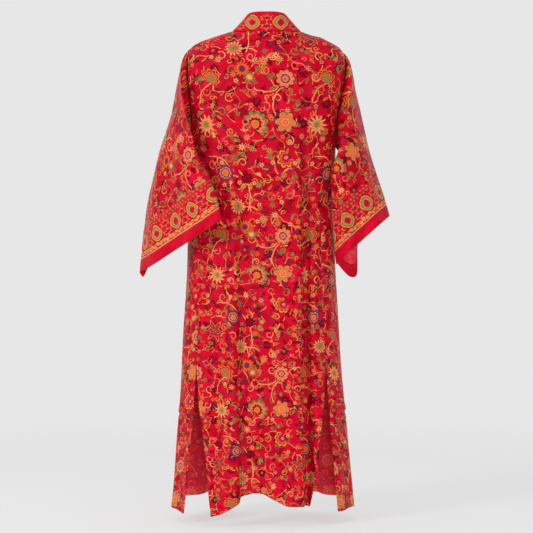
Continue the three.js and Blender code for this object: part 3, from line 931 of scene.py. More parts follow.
def collar_seam():
    seam, leans = [], []
    downs = gathered(COLLAR_SIDE_COLUMNS)

    def run_edge(side, order):
        for down in order:
            point = front_point(side, 1, down)
            flat = point - front_point(side, 0.9, down)
            flat.z = 0
            lean = lean_at_neck(90 * side).lerp(flat.normalized(), ease(down / COLLAR_FLAT_BY))
            seam.append(point)
            leans.append(lean.normalized())

    run_edge(1, downs[:0:-1])
    for turn in 90 - 180 * gathered(COLLAR_NECK_COLUMNS):
        seam.append(back_top(NECK_HALF / SHOULDER_HALF * math.sin(math.radians(turn))))
        leans.append(lean_at_neck(turn))
    run_edge(-1, downs[1:])
    return np.array(seam), np.array(leans)


# %% Collar
COLLAR_ROWS, COLLAR_THICKNESS = 12, 0.003
COLLAR_SWELL, COLLAR_WAVE, COLLAR_WAVE_LENGTH = 0.9, 0.5, 37
COLLAR_BORDER_START, COLLAR_BORDER_SHIFT, COLLAR_BORDER_SIZE = 35, 12, 0.93
NAPE_ENDS, NAPE_BLEND = 165, 90

seam, leans = collar_seam()
widths = COLLAR_WIDTH * (1 - gathered(COLLAR_ROWS))
collar_grid = seam[None, :, :] + leans[None, :, :] * widths[:, None, None]
far = edge_distances(collar_grid)
along_band = far["left"][COLLAR_ROWS // 2] - far["left"][COLLAR_ROWS // 2, len(seam) // 2]
arch = np.sin(np.pi * gathered(COLLAR_ROWS))[:, None]
collar_relief = COLLAR_SWELL * arch
collar_relief = (
    collar_relief + COLLAR_WAVE * np.sin(along_band / COLLAR_WAVE_LENGTH)[None, :] * arch
)
collar_relief += seam_dip(far["bottom"], 0.8, 2) + seam_dip(far["top"], 0.5, 1.5)
own_run = far["left"] - far["left"][:, [len(seam) // 2]]
near_nape = np.clip((NAPE_ENDS - np.abs(along_band)) / NAPE_BLEND, 0, 1)
along_border = along_band + (own_run - along_band) * near_nape
border = (
    along_border * COLLAR_BORDER_SIZE + COLLAR_BORDER_START,
    far["bottom"] + COLLAR_BORDER_SHIFT,
)
collar_shape = raised(collar_grid, collar_relief)
collar_map = (far["left"], far["top"])
collar = lay_cloth("collar_band", collar_shape, collar_map, border, COLLAR_THICKNESS)
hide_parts("collar_nape", "collar_left", "collar_right")
seams += [seam_line(collar_shape, edge, STITCH_INSET) for edge in ("bottom", "top")]

# %% [markdown]
# ## Stitches
# A machine sewed the real robe, so its stitches are short, even and a few millimetres in from each
# edge. Every stitch is a thin thread of its own that lies on the cloth along the line of its seam.
# All of them are joined in one mesh, because thousands of objects would be slow to work with. A
# dashed line in the material would be lighter, but would stay flat in a close view. Five sides are
# enough for a thread this thin.

# %% Stitches
STITCH_PITCH, STITCH_LENGTH, THREAD_RADIUS, THREAD_SIDES = 5.2, 3.6, 0.34, 5
FIRST_STITCH = 2


def sew(lines):
    mesh = bpy.data.meshes.new("stitches")
    joined = bmesh.new()
    for line in lines:
        bm = bmesh.new()
        run = run_length(line[None], 1)[0]
        for start in np.arange(FIRST_STITCH, run[-1] - STITCH_PITCH, STITCH_PITCH):
            ends = [
                Vector(np.interp(at, run, line[:, k]) for k in range(3))
                for at in (start, start + STITCH_LENGTH)
            ]
            lie = (ends[1] - ends[0]).to_track_quat("Z", "Y").to_matrix().to_4x4()
            bmesh.ops.create_cone(
                bm,
                segments=THREAD_SIDES,
                radius1=THREAD_RADIUS * MM,
                radius2=THREAD_RADIUS * MM,
                depth=STITCH_LENGTH * MM,
                cap_ends=True,
                matrix=Matrix.Translation((ends[0] + ends[1]) / 2 * MM) @ lie,
            )
        bm.to_mesh(mesh)
        bm.free()
        joined.from_mesh(mesh)
    joined.to_mesh(mesh)
    joined.free()
    piece = bpy.data.objects.new("stitches", mesh)
    bpy.context.collection.objects.link(piece)
    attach(piece, "root")
    count = len(mesh.polygons) // (THREAD_SIDES + 2)
    print("stitches:", count, "on", len(lines), "lines")
    return piece


stitches = sew(seams)

# %% [markdown]
# ## The silk and its print
# The cloth is silk satin, block printed all over with flowers, leaves and scrolls. Its print is
# drawn here as a printer lays it down: the dyed ground first, with painted shade and painted sheen
# mottled over it, then one colour block after another.
# Every motif is worked out in millimetres of flat cloth, from the UV map, so it follows each panel
# round its folds. A motif is a distance from its own centre, divided by how far its petals reach:
# rings of colour between 0 and 1 then take the shape of the flower. A painted image would be the
# usual way, but it has a fixed size in pixels, and this print stays sharp however close one looks.

# %% Material helpers
def hex_colour(value):
    """An sRGB hex value as the linear colour that shaders work with."""
    channels = [int(value[k : k + 2], 16) / 255 for k in (1, 3, 5)]
    return [c / 12.92 if c <= 0.04045 else ((c + 0.055) / 1.055) ** 2.4 for c in channels] + [1]


def new_material(name):
    material = bpy.data.materials.new(name)
    material.use_nodes = True
    material.node_tree.nodes.clear()
    return material, material.node_tree


def add(tree, kind, inputs=(), out=0, stops=(), **settings):
    """Adds one node with its settings, its inputs' values or links, and a ramp's stops, and gives
    one of its outputs, or the node itself where out is None."""
    node = tree.nodes.new("ShaderNode" + kind)
    for key, value in settings.items():
        setattr(node, key, value)
    for key, value in inputs.items() if isinstance(inputs, dict) else enumerate(inputs):
        if isinstance(value, bpy.types.NodeSocket):
            tree.links.new(value, node.inputs[key])
        else:
            node.inputs[key].default_value = value
    for k, (position, colour, *alpha) in enumerate(stops):
        ramp = node.color_ramp
        ramp.interpolation = "CONSTANT"
        while len(ramp.elements) <= k:
            ramp.elements.new(1)
        ramp.elements[k].position = position
        ramp.elements[k].color = hex_colour(colour)[:3] + (alpha or [1])
    return node if out is None else node.outputs[out]


# %% Colours of the print
RED, DEEP_RED, MAROON = "#D8082A", "#A3041E", "#6B0318"
CREAM, PEACH, GOLD, ORANGE = "#E9965F", "#DE7050", "#D98433", "#DF6226"
OLIVE, KHAKI, PURPLE, SLATE = "#857438", "#A88344", "#6A2550", "#573458"
STRIPE_RED, MEDALLION_GOLD = "#DA3A30", "#CC9148"
# The ground's dark and light reds are painted shade and painted sheen, mottled over the dyed red.
PAINTED_SHADE_RED, PAINTED_SHEEN_RED = "#A8031D", "#E4092F"
REVERSE_PAINTED_LIGHT_RED, THREAD_RED = "#F43A52", "#B3142C"
print("13 block colours on a ground between", PAINTED_SHADE_RED, "and", PAINTED_SHEEN_RED)

# %% Frames for motifs
REPEAT_WIDTH, REPEAT_HEIGHT = 250, 354
CARVING_WANDERS, CARVING_EVERY = 6, 15


def hand_cut(tree, cloth):
    """Moves the cloth's millimetres a little, because no block is carved quite evenly."""
    wobble = {"Vector": cloth, "Scale": 1 / CARVING_EVERY, "Detail": 1.0}
    wobble = add(tree, "TexNoise", wobble, out=1)
    wobble = add(tree, "VectorMath", (wobble, (0.5, 0.5, 0.5)), operation="SUBTRACT")
    reach = (CARVING_WANDERS, CARVING_WANDERS, 0)
    wobble = add(tree, "VectorMath", (wobble, reach), operation="MULTIPLY")
    return add(tree, "VectorMath", (cloth, wobble), operation="ADD")


def charted(tree, cloth, x, y, turn=0.0):
    """The cloth seen from a motif that comes back once in every repeat of the print."""
    moved = add(tree, "VectorMath", (cloth, (x, -y, 0)), operation="SUBTRACT")
    half = (REPEAT_WIDTH / 2, REPEAT_HEIGHT / 2, 1)
    wrapped = add(tree, "VectorMath", (moved, half, [-k for k in half]), operation="WRAP")
    if not turn:
        return wrapped
    turned = {"Vector": wrapped, "Angle": math.radians(turn)}
    return add(tree, "VectorRotate", turned, rotation_type="Z_AXIS")


def scattered(tree, cloth, spacing, shift, looseness=0.75):
    """The cloth seen from the nearest of many motifs about spacing mm apart, each turned its own
    way, and three random numbers that belong to that motif."""
    moved = add(tree, "VectorMath", (cloth, (shift, 2.3 * shift, 0)), operation="ADD")
    cells = add(
        tree,
        "TexVoronoi",
        {"Vector": moved, "Scale": 1 / spacing, "Randomness": looseness},
        out=None,
        voronoi_dimensions="2D",
    )
    own = add(tree, "VectorMath", (moved, cells.outputs["Position"]), operation="SUBTRACT")
    chance = add(tree, "SeparateColor", (cells.outputs["Color"],), out=None)
    angle = add(tree, "Math", (chance.outputs[0], 2 * math.pi), operation="MULTIPLY")
    turned = add(tree, "VectorRotate", {"Vector": own, "Angle": angle}, rotation_type="Z_AXIS")
    return turned, chance.outputs[1], chance.outputs[2]


# %% Shapes of motifs
def polar(tree, own):
    radius = add(tree, "VectorMath", (own,), out=1, operation="LENGTH")
    axes = add(tree, "SeparateXYZ", (own,), out=None)
    angle = add(tree, "Math", (axes.outputs[1], axes.outputs[0]), operation="ARCTAN2")
    return radius, angle


def petals_reach(tree, own, size, petals, notch, pointed=False, turn=0.0):
    """0 at a flower's centre and 1 at the edge of its petals. notch is the share of their length
    by which the petals part."""
    radius, angle = polar(tree, own)
    wave = add(tree, "Math", (angle, petals / 2, turn), operation="MULTIPLY_ADD")
    wave = add(tree, "Math", (wave,), operation="SINE" if pointed else "COSINE")
    wave = add(tree, "Math", (wave,), operation="ABSOLUTE")
    tip, gap = (-notch * size, size) if pointed else (notch * size, (1 - notch) * size)
    reach = add(tree, "Math", (wave, tip, gap), operation="MULTIPLY_ADD")
    return add(tree, "Math", (radius, reach), operation="DIVIDE")


def leaf_reach(tree, own, length, width):
    """0 along a leaf's middle and 1 at its edge, which is two arcs that meet in points."""
    axes = add(tree, "SeparateXYZ", (own,), out=None)
    along = add(tree, "Math", (axes.outputs[0], 1 / length), operation="MULTIPLY")
    along = add(tree, "Math", (along, along), operation="MULTIPLY")
    across = add(tree, "Math", (axes.outputs[1],), operation="ABSOLUTE")
    return add(tree, "Math", (across, 1 / width, along), operation="MULTIPLY_ADD")


def scroll_line(tree, own, size, width):
    """How far a point is from a curl that winds once outwards to size, in curl widths."""
    radius, angle = polar(tree, own)
    curl = add(tree, "Math", (angle, 0.11 * size, 0.62 * size), operation="MULTIPLY_ADD")
    away = add(tree, "Math", (radius, curl), operation="SUBTRACT")
    away = add(tree, "Math", (away,), operation="ABSOLUTE")
    taper = add(tree, "Math", (angle, 0.16 * width, width), operation="MULTIPLY_ADD")
    return add(tree, "Math", (away, taper), operation="DIVIDE")


# %% Laying a colour block
def printed(tree, under, reach, rings):
    """Prints a motif's rings over what is there. Each ring starts at its share of the reach, and a
    ring with an alpha below 1 lets the ground through."""
    ramp = add(tree, "ValToRGB", (reach,), out=None, stops=(*rings, (0.999, RED, 0)))
    return add(tree, "MixRGB", (ramp.outputs["Alpha"], under, ramp.outputs["Color"]))


def printed_by_chance(tree, under, reach, chance, edge, colours):
    """Prints a motif in one of several colours, inside a thin dark edge."""
    inside = add(tree, "Math", (reach, 1.0), operation="LESS_THAN")
    under = add(tree, "MixRGB", (inside, under, hex_colour(edge)))
    inside = add(tree, "Math", (reach, 0.84), operation="LESS_THAN")
    stops = [(k / len(colours), colour) for k, colour in enumerate(colours)]
    colour = add(tree, "ValToRGB", (chance,), stops=stops)
    return add(tree, "MixRGB", (inside, under, colour))


# %% [markdown]
# ## The large flowers
# The eye follows the large flowers first, so each has its own place in the repeat. A table gives
# their places, sizes and petals, and their rings of colour from the heart outwards. Placing them by
# chance would be less work, but a printer's block has the same flower in the same place every time.

# %% The charted flowers
CHART = rows(
    "name x y size petals notch pointed turn rings",
    ("maroon shadow flower", 26, 289, 14, 8, 0.3, False, 0,
     ((0, MAROON), (0.3, DEEP_RED), (0.45, MAROON))),
    ("olive star", -3, 242, 12, 8, 0.62, True, 10,
     ((0, DEEP_RED), (0.25, OLIVE), (0.85, MAROON))),
    ("cream star", 16, 220, 12, 8, 0.55, True, 0,
     ((0, ORANGE), (0.3, CREAM), (0.86, MAROON))),
    ("cream small flower", 90, 21, 12, 8, 0.6, True, 20,
     ((0, MAROON), (0.22, CREAM), (0.86, MAROON))),
    ("pink small flower", 63, 32, 11, 8, 0.5, False, 0,
     ((0, RED), (0.25, CREAM), (0.4, DEEP_RED), (0.5, PEACH), (0.86, OLIVE))),
    ("khaki small flower", 53, 305, 11, 8, 0.6, True, 0,
     ((0, PURPLE), (0.25, KHAKI), (0.86, MAROON))),
    ("sun-ray flower", 0, 0, 21, 13, 0.66, False, 0,
     ((0, DEEP_RED), (0.1, OLIVE), (0.38, KHAKI), (0.46, DEEP_RED), (0.58, CREAM),
      (0.92, MAROON))),
    ("spiky flower", 18, 49, 20, 14, 0.38, True, 0,
     ((0, SLATE), (0.16, PURPLE), (0.42, DEEP_RED), (0.5, ORANGE), (0.9, DEEP_RED))),
    ("opened tulip", 33, 68, 16, 9, 0.5, True, 60,
     ((0, CREAM), (0.48, PEACH), (0.6, OLIVE), (0.9, MAROON))),
    ("rosette", 110, 71, 23, 9, 0.22, False, 0,
     ((0, MAROON), (0.1, PEACH), (0.34, PURPLE), (0.5, CREAM), (0.58, ORANGE), (0.64, PEACH),
      (0.84, ORANGE), (0.9, MAROON))),
    ("peach orchid", 111, 165, 25, 6, 0.4, False, 15,
     ((0, PEACH), (0.2, RED), (0.27, CREAM), (0.38, ORANGE), (0.62, KHAKI), (0.8, PEACH),
      (0.93, MAROON))),
    ("water lily", -66, 169, 26, 11, 0.48, True, 0,
     ((0, OLIVE), (0.3, KHAKI), (0.42, PEACH), (0.62, CREAM), (0.92, MAROON))),
    ("scalloped purple bud", -25, 277, 20, 10, 0.16, False, 0,
     ((0, ORANGE), (0.3, GOLD), (0.4, PURPLE), (0.58, CREAM), (0.66, RED), (0.74, SLATE),
      (0.95, MAROON))),
    ("outlined lotus", -80, 313, 32, 6, 0.62, True, 30,
     ((0, PURPLE), (0.14, PEACH), (0.22, DEEP_RED), (0.42, MAROON), (0.5, PEACH), (0.57, MAROON),
      (0.7, DEEP_RED), (0.86, CREAM), (0.95, MAROON))),
)
print(len(CHART), "charted flowers on a repeat of", REPEAT_WIDTH, "by", REPEAT_HEIGHT, "mm")


def print_chart(tree, cloth, colour):
    for motif in CHART:
        own = charted(tree, cloth, motif["x"], motif["y"])
        petals = [motif[part] for part in ("size", "petals", "notch", "pointed")]
        reach = petals_reach(tree, own, *petals, math.radians(motif["turn"]))
        colour = printed(tree, colour, reach, motif["rings"])
    return colour


# %% The half flowers
FANS = rows(
    "name x y size petals turn rings",
    ("fan palmette", -52, 71, 25, 9, -60,
     ((0, OLIVE), (0.34, DEEP_RED), (0.4, PEACH), (0.5, MAROON), (0.56, GOLD),
      (0.64, DEEP_RED), (0.78, ORANGE), (0.93, MAROON))),
    ("zinnia", 45, 169, 31, 11, -45,
     ((0, ORANGE), (0.24, GOLD), (0.3, MAROON), (0.42, DEEP_RED), (0.5, PEACH), (0.72, OLIVE),
      (0.95, MAROON))),
    ("half flower", 114, 244, 24, 9, 150,
     ((0, PEACH), (0.2, PURPLE), (0.34, RED), (0.52, ORANGE), (0.62, DEEP_RED), (0.74, GOLD),
      (0.93, MAROON))),
)


FAN_CUT, FAN_NOTCH = 0.24, 0.24


def print_fans(tree, cloth, colour):
    """Fan palmettes: flowers that are cut off a little behind their centre."""
    for fan in FANS:
        own = charted(tree, cloth, fan["x"], fan["y"], fan["turn"])
        side = add(tree, "SeparateXYZ", (own,), out=None).outputs[0]
        shown = add(tree, "Math", (side, -FAN_CUT * fan["size"]), operation="GREATER_THAN")
        reach = petals_reach(tree, own, fan["size"], fan["petals"], FAN_NOTCH)
        hidden = add(tree, "Math", (shown, -2.0, 2.0), operation="MULTIPLY_ADD")
        reach = add(tree, "Math", (reach, hidden), operation="ADD")
        colour = printed(tree, colour, reach, fan["rings"])
    return colour


# %% Stems
STEMS = rows(
    "name x y radius width middle half",
    ("stem of the sun-ray flower", 27, 32, 31, 1.05, 85, 42),
    ("stem under the rosette", 69, 59, 41, 1.05, -78, 48),
    ("stem to the lily", -36, 121, 43, 1.0, 140, 40),
    ("long stem to the sun-ray flower", -54, 333, 86, 1.1, 12, 34),
    ("stem of the orchid", 127, 127, 43, 1.05, 165, 44),
    ("stem of the lotus", -56, 284, 46, 1.0, 60, 40),
)


def print_stems(tree, cloth, colour):
    """Each stem is an arc: near its circle, and on the side that its middle points to."""
    for stem in STEMS:
        own = charted(tree, cloth, stem["x"], stem["y"], -stem["middle"])
        radius = add(tree, "VectorMath", (own,), out=1, operation="LENGTH")
        away = add(tree, "Math", (radius, stem["radius"]), operation="SUBTRACT")
        away = add(tree, "Math", (away,), operation="ABSOLUTE")
        line = add(tree, "Math", (away, stem["width"]), operation="LESS_THAN")
        side = add(tree, "SeparateXYZ", (own,), out=None).outputs[0]
        reach = stem["radius"] * math.cos(math.radians(stem["half"]))
        facing = add(tree, "Math", (side, reach), operation="GREATER_THAN")
        line = add(tree, "Math", (line, facing), operation="MULTIPLY")
        colour = add(tree, "MixRGB", (line, colour, hex_colour(CREAM)))
    return colour


# %% [markdown]
# ## The small filling
# Between the large flowers a block printer leaves hardly any ground empty. Small leaves, scrolls
# and flowers come from loose Voronoi cells: each cell is one motif, turned its own way and coloured
# by its own chance. Drawing them one by one would take hundreds of rows, and a plain noise texture
# would give blots and no drawn shapes.

# %% Vines
VINE_CELL, VINE_WANDERS, VINE_WIDTH = 46, 70.0, 0.95


def print_vines(tree, cloth, colour):
    """Thin wandering vines: the lines between cells of a loose net, bent by a slow noise."""
    bend = add(tree, "TexNoise", {"Vector": cloth, "Scale": 1 / VINE_CELL, "Detail": 1.0}, out=1)
    bend = add(tree, "VectorMath", (bend, (0.5, 0.5, 0.5)), operation="SUBTRACT")
    bend = add(tree, "VectorMath", {0: bend, "Scale": VINE_WANDERS}, operation="SCALE")
    bent = add(tree, "VectorMath", (cloth, bend), operation="ADD")
    net = add(
        tree,
        "TexVoronoi",
        {"Vector": bent, "Scale": 1 / VINE_CELL, "Randomness": 1.0},
        voronoi_dimensions="2D",
        feature="DISTANCE_TO_EDGE",
    )
    line = add(tree, "Math", (net, VINE_WIDTH / VINE_CELL), operation="LESS_THAN")
    broken = add(tree, "TexNoise", {"Vector": cloth, "Scale": 1 / 30, "Detail": 0.0})
    shown = add(tree, "Math", (broken, 0.47), operation="GREATER_THAN")
    line = add(tree, "Math", (line, shown), operation="MULTIPLY")
    hue = add(tree, "ValToRGB", (broken,), stops=((0, CREAM), (0.56, GOLD), (0.62, OLIVE)))
    return add(tree, "MixRGB", (line, colour, hue))


# %% Scrolls, leaves and small flowers
LOOSE_SCROLLS, LOOSE_FILLING = 0.7, 0.8


def print_scrolls(tree, cloth, colour, spacing, shift, size, width, colours):
    own, chance, _ = scattered(tree, cloth, spacing, shift, LOOSE_SCROLLS)
    line = scroll_line(tree, own, size, width)
    return printed_by_chance(tree, colour, line, chance, DEEP_RED, colours)


def print_leaves(tree, cloth, colour, spacing, shift, length, width, colours):
    own, chance, _ = scattered(tree, cloth, spacing, shift, LOOSE_FILLING)
    reach = leaf_reach(tree, own, length, width)
    colour = printed_by_chance(tree, colour, reach, chance, MAROON, colours)
    vein = add(tree, "Math", (reach, 0.34), operation="LESS_THAN")
    return add(tree, "MixRGB", (vein, colour, hex_colour(DEEP_RED)))


def print_flowers(tree, cloth, colour, spacing, shift, size, petals, notch, pointed, colours):
    own, chance, other = scattered(tree, cloth, spacing, shift, LOOSE_FILLING)
    reach = petals_reach(tree, own, size, petals, notch, pointed)
    colour = printed_by_chance(tree, colour, reach, chance, MAROON, colours)
    heart = add(tree, "Math", (reach, 0.32), operation="LESS_THAN")
    hearts = add(tree, "ValToRGB", (other,), stops=((0, DEEP_RED), (0.4, OLIVE), (0.7, PURPLE)))
    return add(tree, "MixRGB", (heart, colour, hearts))


# %% The filling, from the ground up
def print_filling(tree, cloth, colour):
    """Dark motifs go first, because they stand for the shadows between the light ones."""
    dark = (MAROON, DEEP_RED, MAROON, DEEP_RED)
    colour = print_flowers(tree, cloth, colour, 50, 11, 12, 7, 0.4, False, dark)
    colour = print_leaves(tree, cloth, colour, 31, 83, 10, 4, (MAROON, DEEP_RED, MAROON))
    colour = print_vines(tree, cloth, colour)
    colour = print_scrolls(tree, cloth, colour, 31, 71, 7, 0.9, (PURPLE, MAROON, DEEP_RED, SLATE))
    colour = print_scrolls(tree, cloth, colour, 47, 31, 11, 1.0, (CREAM, GOLD, OLIVE, PEACH))
    colour = print_leaves(tree, cloth, colour, 40, 53, 8.5, 2.6, (OLIVE, GOLD, KHAKI, ORANGE))
    colour = print_scrolls(tree, cloth, colour, 37, 97, 6, 1.0, (GOLD, PEACH, OLIVE, RED))
    colour = print_flowers(
        tree, cloth, colour, 46, 17, 6.8, 5, 0.6, False, (PEACH, CREAM, ORANGE, OLIVE)
    )
    return print_flowers(
        tree, cloth, colour, 56, 39, 10, 8, 0.7, True, (CREAM, ORANGE, OLIVE, GOLD, PEACH)
    )


# %% [markdown]
# ## The medallion border
# The collar and the cuffs carry a printed border with its own direction: it follows their seam, not
# the threads. Its motifs are worked out as the flowers are, but on the second UV map, which holds
# how far a point is along the seam and away from it. A separate strip of cloth would show a step.

# %% Sizes of the border
BORDER_PITCH, MEDALLION_HEIGHT, MEDALLION_SIZE = 70, 36.5, 20.5
MEDALLION_ROUNDNESS = 1.45
MEDALLION_RINGS = (
    (0, SLATE), (0.12, DEEP_RED), (0.2, RED), (0.38, MAROON), (0.45, PEACH), (0.58, KHAKI),
    (0.72, OLIVE), (0.86, MEDALLION_GOLD),
)
BUD_RINGS = ((0, SLATE), (0.3, MAROON), (0.4, RED), (0.62, ORANGE), (0.84, PEACH))
BUD_OFFSET, BUD_SIZE, BUD_SQUEEZE = 11.5, 0.6, (0.7, 1.15, 1)
NEVER_REPEATS = 9999


# %% Frames for the border
def repeated(tree, edge, x, y, pitch):
    """The border seen from a motif that comes back along it at every pitch."""
    moved = add(tree, "VectorMath", (edge, (x, y, 0)), operation="SUBTRACT")
    far = (pitch / 2, NEVER_REPEATS, 1)
    return add(tree, "VectorMath", (moved, far, [-k for k in far]), operation="WRAP")


def diamond_reach(tree, own, width, height, roundness=1.0):
    """0 at the middle of a diamond and 1 at its edge; a higher roundness rounds its corners."""
    near = add(tree, "VectorMath", (own,), operation="ABSOLUTE")
    axes = add(tree, "SeparateXYZ", (near,), out=None)
    across = add(tree, "Math", (axes.outputs[0], 1 / width), operation="MULTIPLY")
    across = add(tree, "Math", (across, roundness), operation="POWER")
    up = add(tree, "Math", (axes.outputs[1], 1 / height), operation="MULTIPLY")
    up = add(tree, "Math", (up, roundness), operation="POWER")
    both = add(tree, "Math", (across, up), operation="ADD")
    return add(tree, "Math", (both, 1 / roundness), operation="POWER")


def print_band(tree, edge, colour, low, high, band_colour):
    height = add(tree, "SeparateXYZ", (edge,), out=None).outputs[1]
    middle, half = (low + high) / 2, (high - low) / 2
    inside = add(tree, "Math", (height, middle, half), operation="COMPARE")
    return add(tree, "MixRGB", (inside, colour, hex_colour(band_colour)))


# %% Medallions and buds
def print_medallions(tree, edge, colour):
    for offset in (BUD_OFFSET, -BUD_OFFSET):
        own = repeated(tree, edge, BORDER_PITCH / 2, MEDALLION_HEIGHT + offset, BORDER_PITCH)
        own = add(tree, "VectorMath", (own, BUD_SQUEEZE), operation="MULTIPLY")
        turn = math.radians(90)
        reach = petals_reach(tree, own, MEDALLION_SIZE * BUD_SIZE, 6, 0.42, True, turn)
        colour = printed(tree, colour, reach, BUD_RINGS)
    own = repeated(tree, edge, 0, MEDALLION_HEIGHT, BORDER_PITCH)
    reach = diamond_reach(tree, own, MEDALLION_SIZE, MEDALLION_SIZE, MEDALLION_ROUNDNESS)
    for at, width in ((1.12, 0.03), (1.6, 0.035)):
        ring = add(tree, "Math", (reach, at, width), operation="COMPARE")
        colour = add(tree, "MixRGB", (ring, colour, hex_colour(MAROON)))
    return printed(tree, colour, reach, MEDALLION_RINGS)


# %% Stripes by the cuff
VINE_PITCH, VINE_SWING, VINE_LINE = 22, 3.2, 1.1
CUFF_STRIPES = (
    (-2, 3.4, CREAM), (3.4, 16, STRIPE_RED), (3.4, 4.6, MAROON), (15.4, 17, MAROON),
)


def print_cuff_stripes(tree, edge, colour):
    """The vine stripe next to the cuff seam, between a cream line and a dark one."""
    for low, high, stripe in CUFF_STRIPES:
        colour = print_band(tree, edge, colour, low, high, stripe)
    own = repeated(tree, edge, 0, 10, VINE_PITCH)
    axes = add(tree, "SeparateXYZ", (own,), out=None)
    wave = add(tree, "Math", (axes.outputs[0], 2 * math.pi / VINE_PITCH), operation="MULTIPLY")
    wave = add(tree, "Math", (wave,), operation="SINE")
    vine = add(tree, "Math", (wave, -VINE_SWING, axes.outputs[1]), operation="MULTIPLY_ADD")
    line = add(tree, "Math", (vine, 0.0, VINE_LINE), operation="COMPARE")
    colour = add(tree, "MixRGB", (line, colour, hex_colour(GOLD)))
    for x, y in ((5.5, 7.4), (-5.5, 12.6)):
        leaf = repeated(tree, edge, x, y, VINE_PITCH)
        reach = diamond_reach(tree, leaf, 5.0, 3.2, 1.5)
        colour = printed(tree, colour, reach, ((0, ORANGE), (0.3, CREAM)))
    return colour


# %% The whole border
def print_border(tree, edge, colour, striped):
    """A row of stepped medallions, read from the border map: x runs along the seam and y is the
    distance from it. On a sleeve a vine stripe runs below it and two rows of buds above it."""
    colour = print_band(tree, edge, colour, -9, 76 if striped else 90, RED)
    if striped:
        colour = print_cuff_stripes(tree, edge, colour)
        for x, y in ((0, 63), (BORDER_PITCH / 12, 71)):
            own = repeated(tree, edge, x, y, BORDER_PITCH / 6)
            reach = diamond_reach(tree, own, 4.4, 3.4, 1.3)
            colour = printed(tree, colour, reach, ((0, KHAKI), (0.4, OLIVE), (0.85, DEEP_RED)))
    return print_medallions(tree, edge, colour)


# %% [markdown]
# ## Silk satin and thread
# Silk satin is woven so that long threads float on its face. That gives the eye a deep colour and a
# soft broad gloss, not a hard shine, so its highlight is weak, wide and tinted by the dye. Sheen or
# a clear coat would suit velvet or oilcloth better. Threads are about 0.1 mm apart, far too fine to
# show, so the weave's bump is drawn 1.6 mm coarse. The reverse shows the same print paler and
# duller. It is paler partly because less dye reaches it, and partly by painted light: a pale red is
# mixed in to brighten the inside, which gets little light through the slits. The cuffs and the
# lining of the collar are the same silk dyed plain, and the thread is spun silk: round, twisted and
# a little darker.

# %% The dyed ground, with painted shade and sheen
PAINTED_SHEEN_PATCH, DYE_SPECKLE = 48, 3.2


def print_ground_and_painted_sheen(tree, cloth):
    """The dyed ground, mottled with painted shade and painted sheen, and finely speckled."""
    # Large patches of painted shade and painted sheen: darker and lighter red stand in for satin's
    # light play.
    painted_sheen = {"Vector": cloth, "Scale": 1 / PAINTED_SHEEN_PATCH, "Detail": 5.0, "Roughness": 0.62}
    painted_sheen = add(tree, "TexNoise", painted_sheen)
    painted_sheen = add(tree, "Math", (painted_sheen, 2.6, -0.8), operation="MULTIPLY_ADD", use_clamp=True)
    colour = add(tree, "MixRGB", (painted_sheen, hex_colour(PAINTED_SHADE_RED), hex_colour(PAINTED_SHEEN_RED)))
    grain = add(tree, "TexNoise", {"Vector": cloth, "Scale": 1 / DYE_SPECKLE, "Detail": 2.0})
    grain = add(tree, "Math", (grain, 0.55), operation="GREATER_THAN")
    grain = add(tree, "Math", (grain, 0.25), operation="MULTIPLY")
    return add(tree, "MixRGB", (grain, colour, hex_colour(DEEP_RED)))


def cloth_millimetres(tree, uv_map="cloth"):
    flat = add(tree, "UVMap", uv_map=uv_map)
    return add(tree, "VectorMath", {0: flat, "Scale": 1000.0}, operation="SCALE")


# %% The satin
FACE_ROUGHNESS, REVERSE_ROUGHNESS = 0.4, 0.6
CRUMPLE_SIZE, WEAVE_SIZE, WEAVE_SHARE = 26, 1.6, 0.06
SATIN_SHINE = {"Specular IOR Level": 0.1, "Specular Tint": (1, 0.3, 0.32, 1)}


def satin(tree, cloth, colour, roughness=FACE_ROUGHNESS):
    """Silk satin: long floating threads give it a soft gloss, and its crumples are fine."""
    crumple = add(tree, "TexNoise", {"Vector": cloth, "Scale": 1 / CRUMPLE_SIZE, "Detail": 3.0})
    weave = add(tree, "TexNoise", {"Vector": cloth, "Scale": 1 / WEAVE_SIZE, "Detail": 1.0})
    height = add(tree, "Math", (weave, WEAVE_SHARE, crumple), operation="MULTIPLY_ADD")
    bump = add(tree, "Bump", {"Height": height, "Strength": 0.6, "Distance": 0.009})
    cloth_finish = {"Base Color": colour, "Roughness": roughness, "Normal": bump, **SATIN_SHINE}
    shader = add(tree, "BsdfPrincipled", cloth_finish)
    add(tree, "OutputMaterial", {"Surface": shader}, out=None)


# %% The printed silk
# Painted light: this share of a pale red brightens the reverse, which gets little light inside the
# robe.
REVERSE_PAINTED_LIGHT_SHARE = 0.55


def printed_silk(name, bordered=False, allover=True, reverse=False):
    material, tree = new_material(name)
    cloth = cloth_millimetres(tree)
    colour = print_ground_and_painted_sheen(tree, cloth)
    if allover:
        colour = print_filling(tree, cloth, colour)
        carved = hand_cut(tree, cloth)
        colour = print_stems(tree, carved, colour)
        colour = print_chart(tree, carved, colour)
        colour = print_fans(tree, carved, colour)
    if bordered:
        carved = hand_cut(tree, cloth_millimetres(tree, "border"))
        colour = print_border(tree, carved, colour, striped=allover)
    if reverse:
        # The reverse is paler partly from its fainter print and partly by painted light that
        # brightens the dim inside.
        colour = add(tree, "MixRGB", (REVERSE_PAINTED_LIGHT_SHARE, colour, hex_colour(REVERSE_PAINTED_LIGHT_RED)))
    satin(tree, cloth, colour, REVERSE_ROUGHNESS if reverse else FACE_ROUGHNESS)
    print(f"{name}: {len(tree.nodes)} nodes")
    return material


body_silk = printed_silk("silk satin, block printed all over")
sleeve_silk = printed_silk("silk satin, block printed with a cuff border", bordered=True)
collar_silk = printed_silk("silk satin, block printed border band", bordered=True, allover=False)
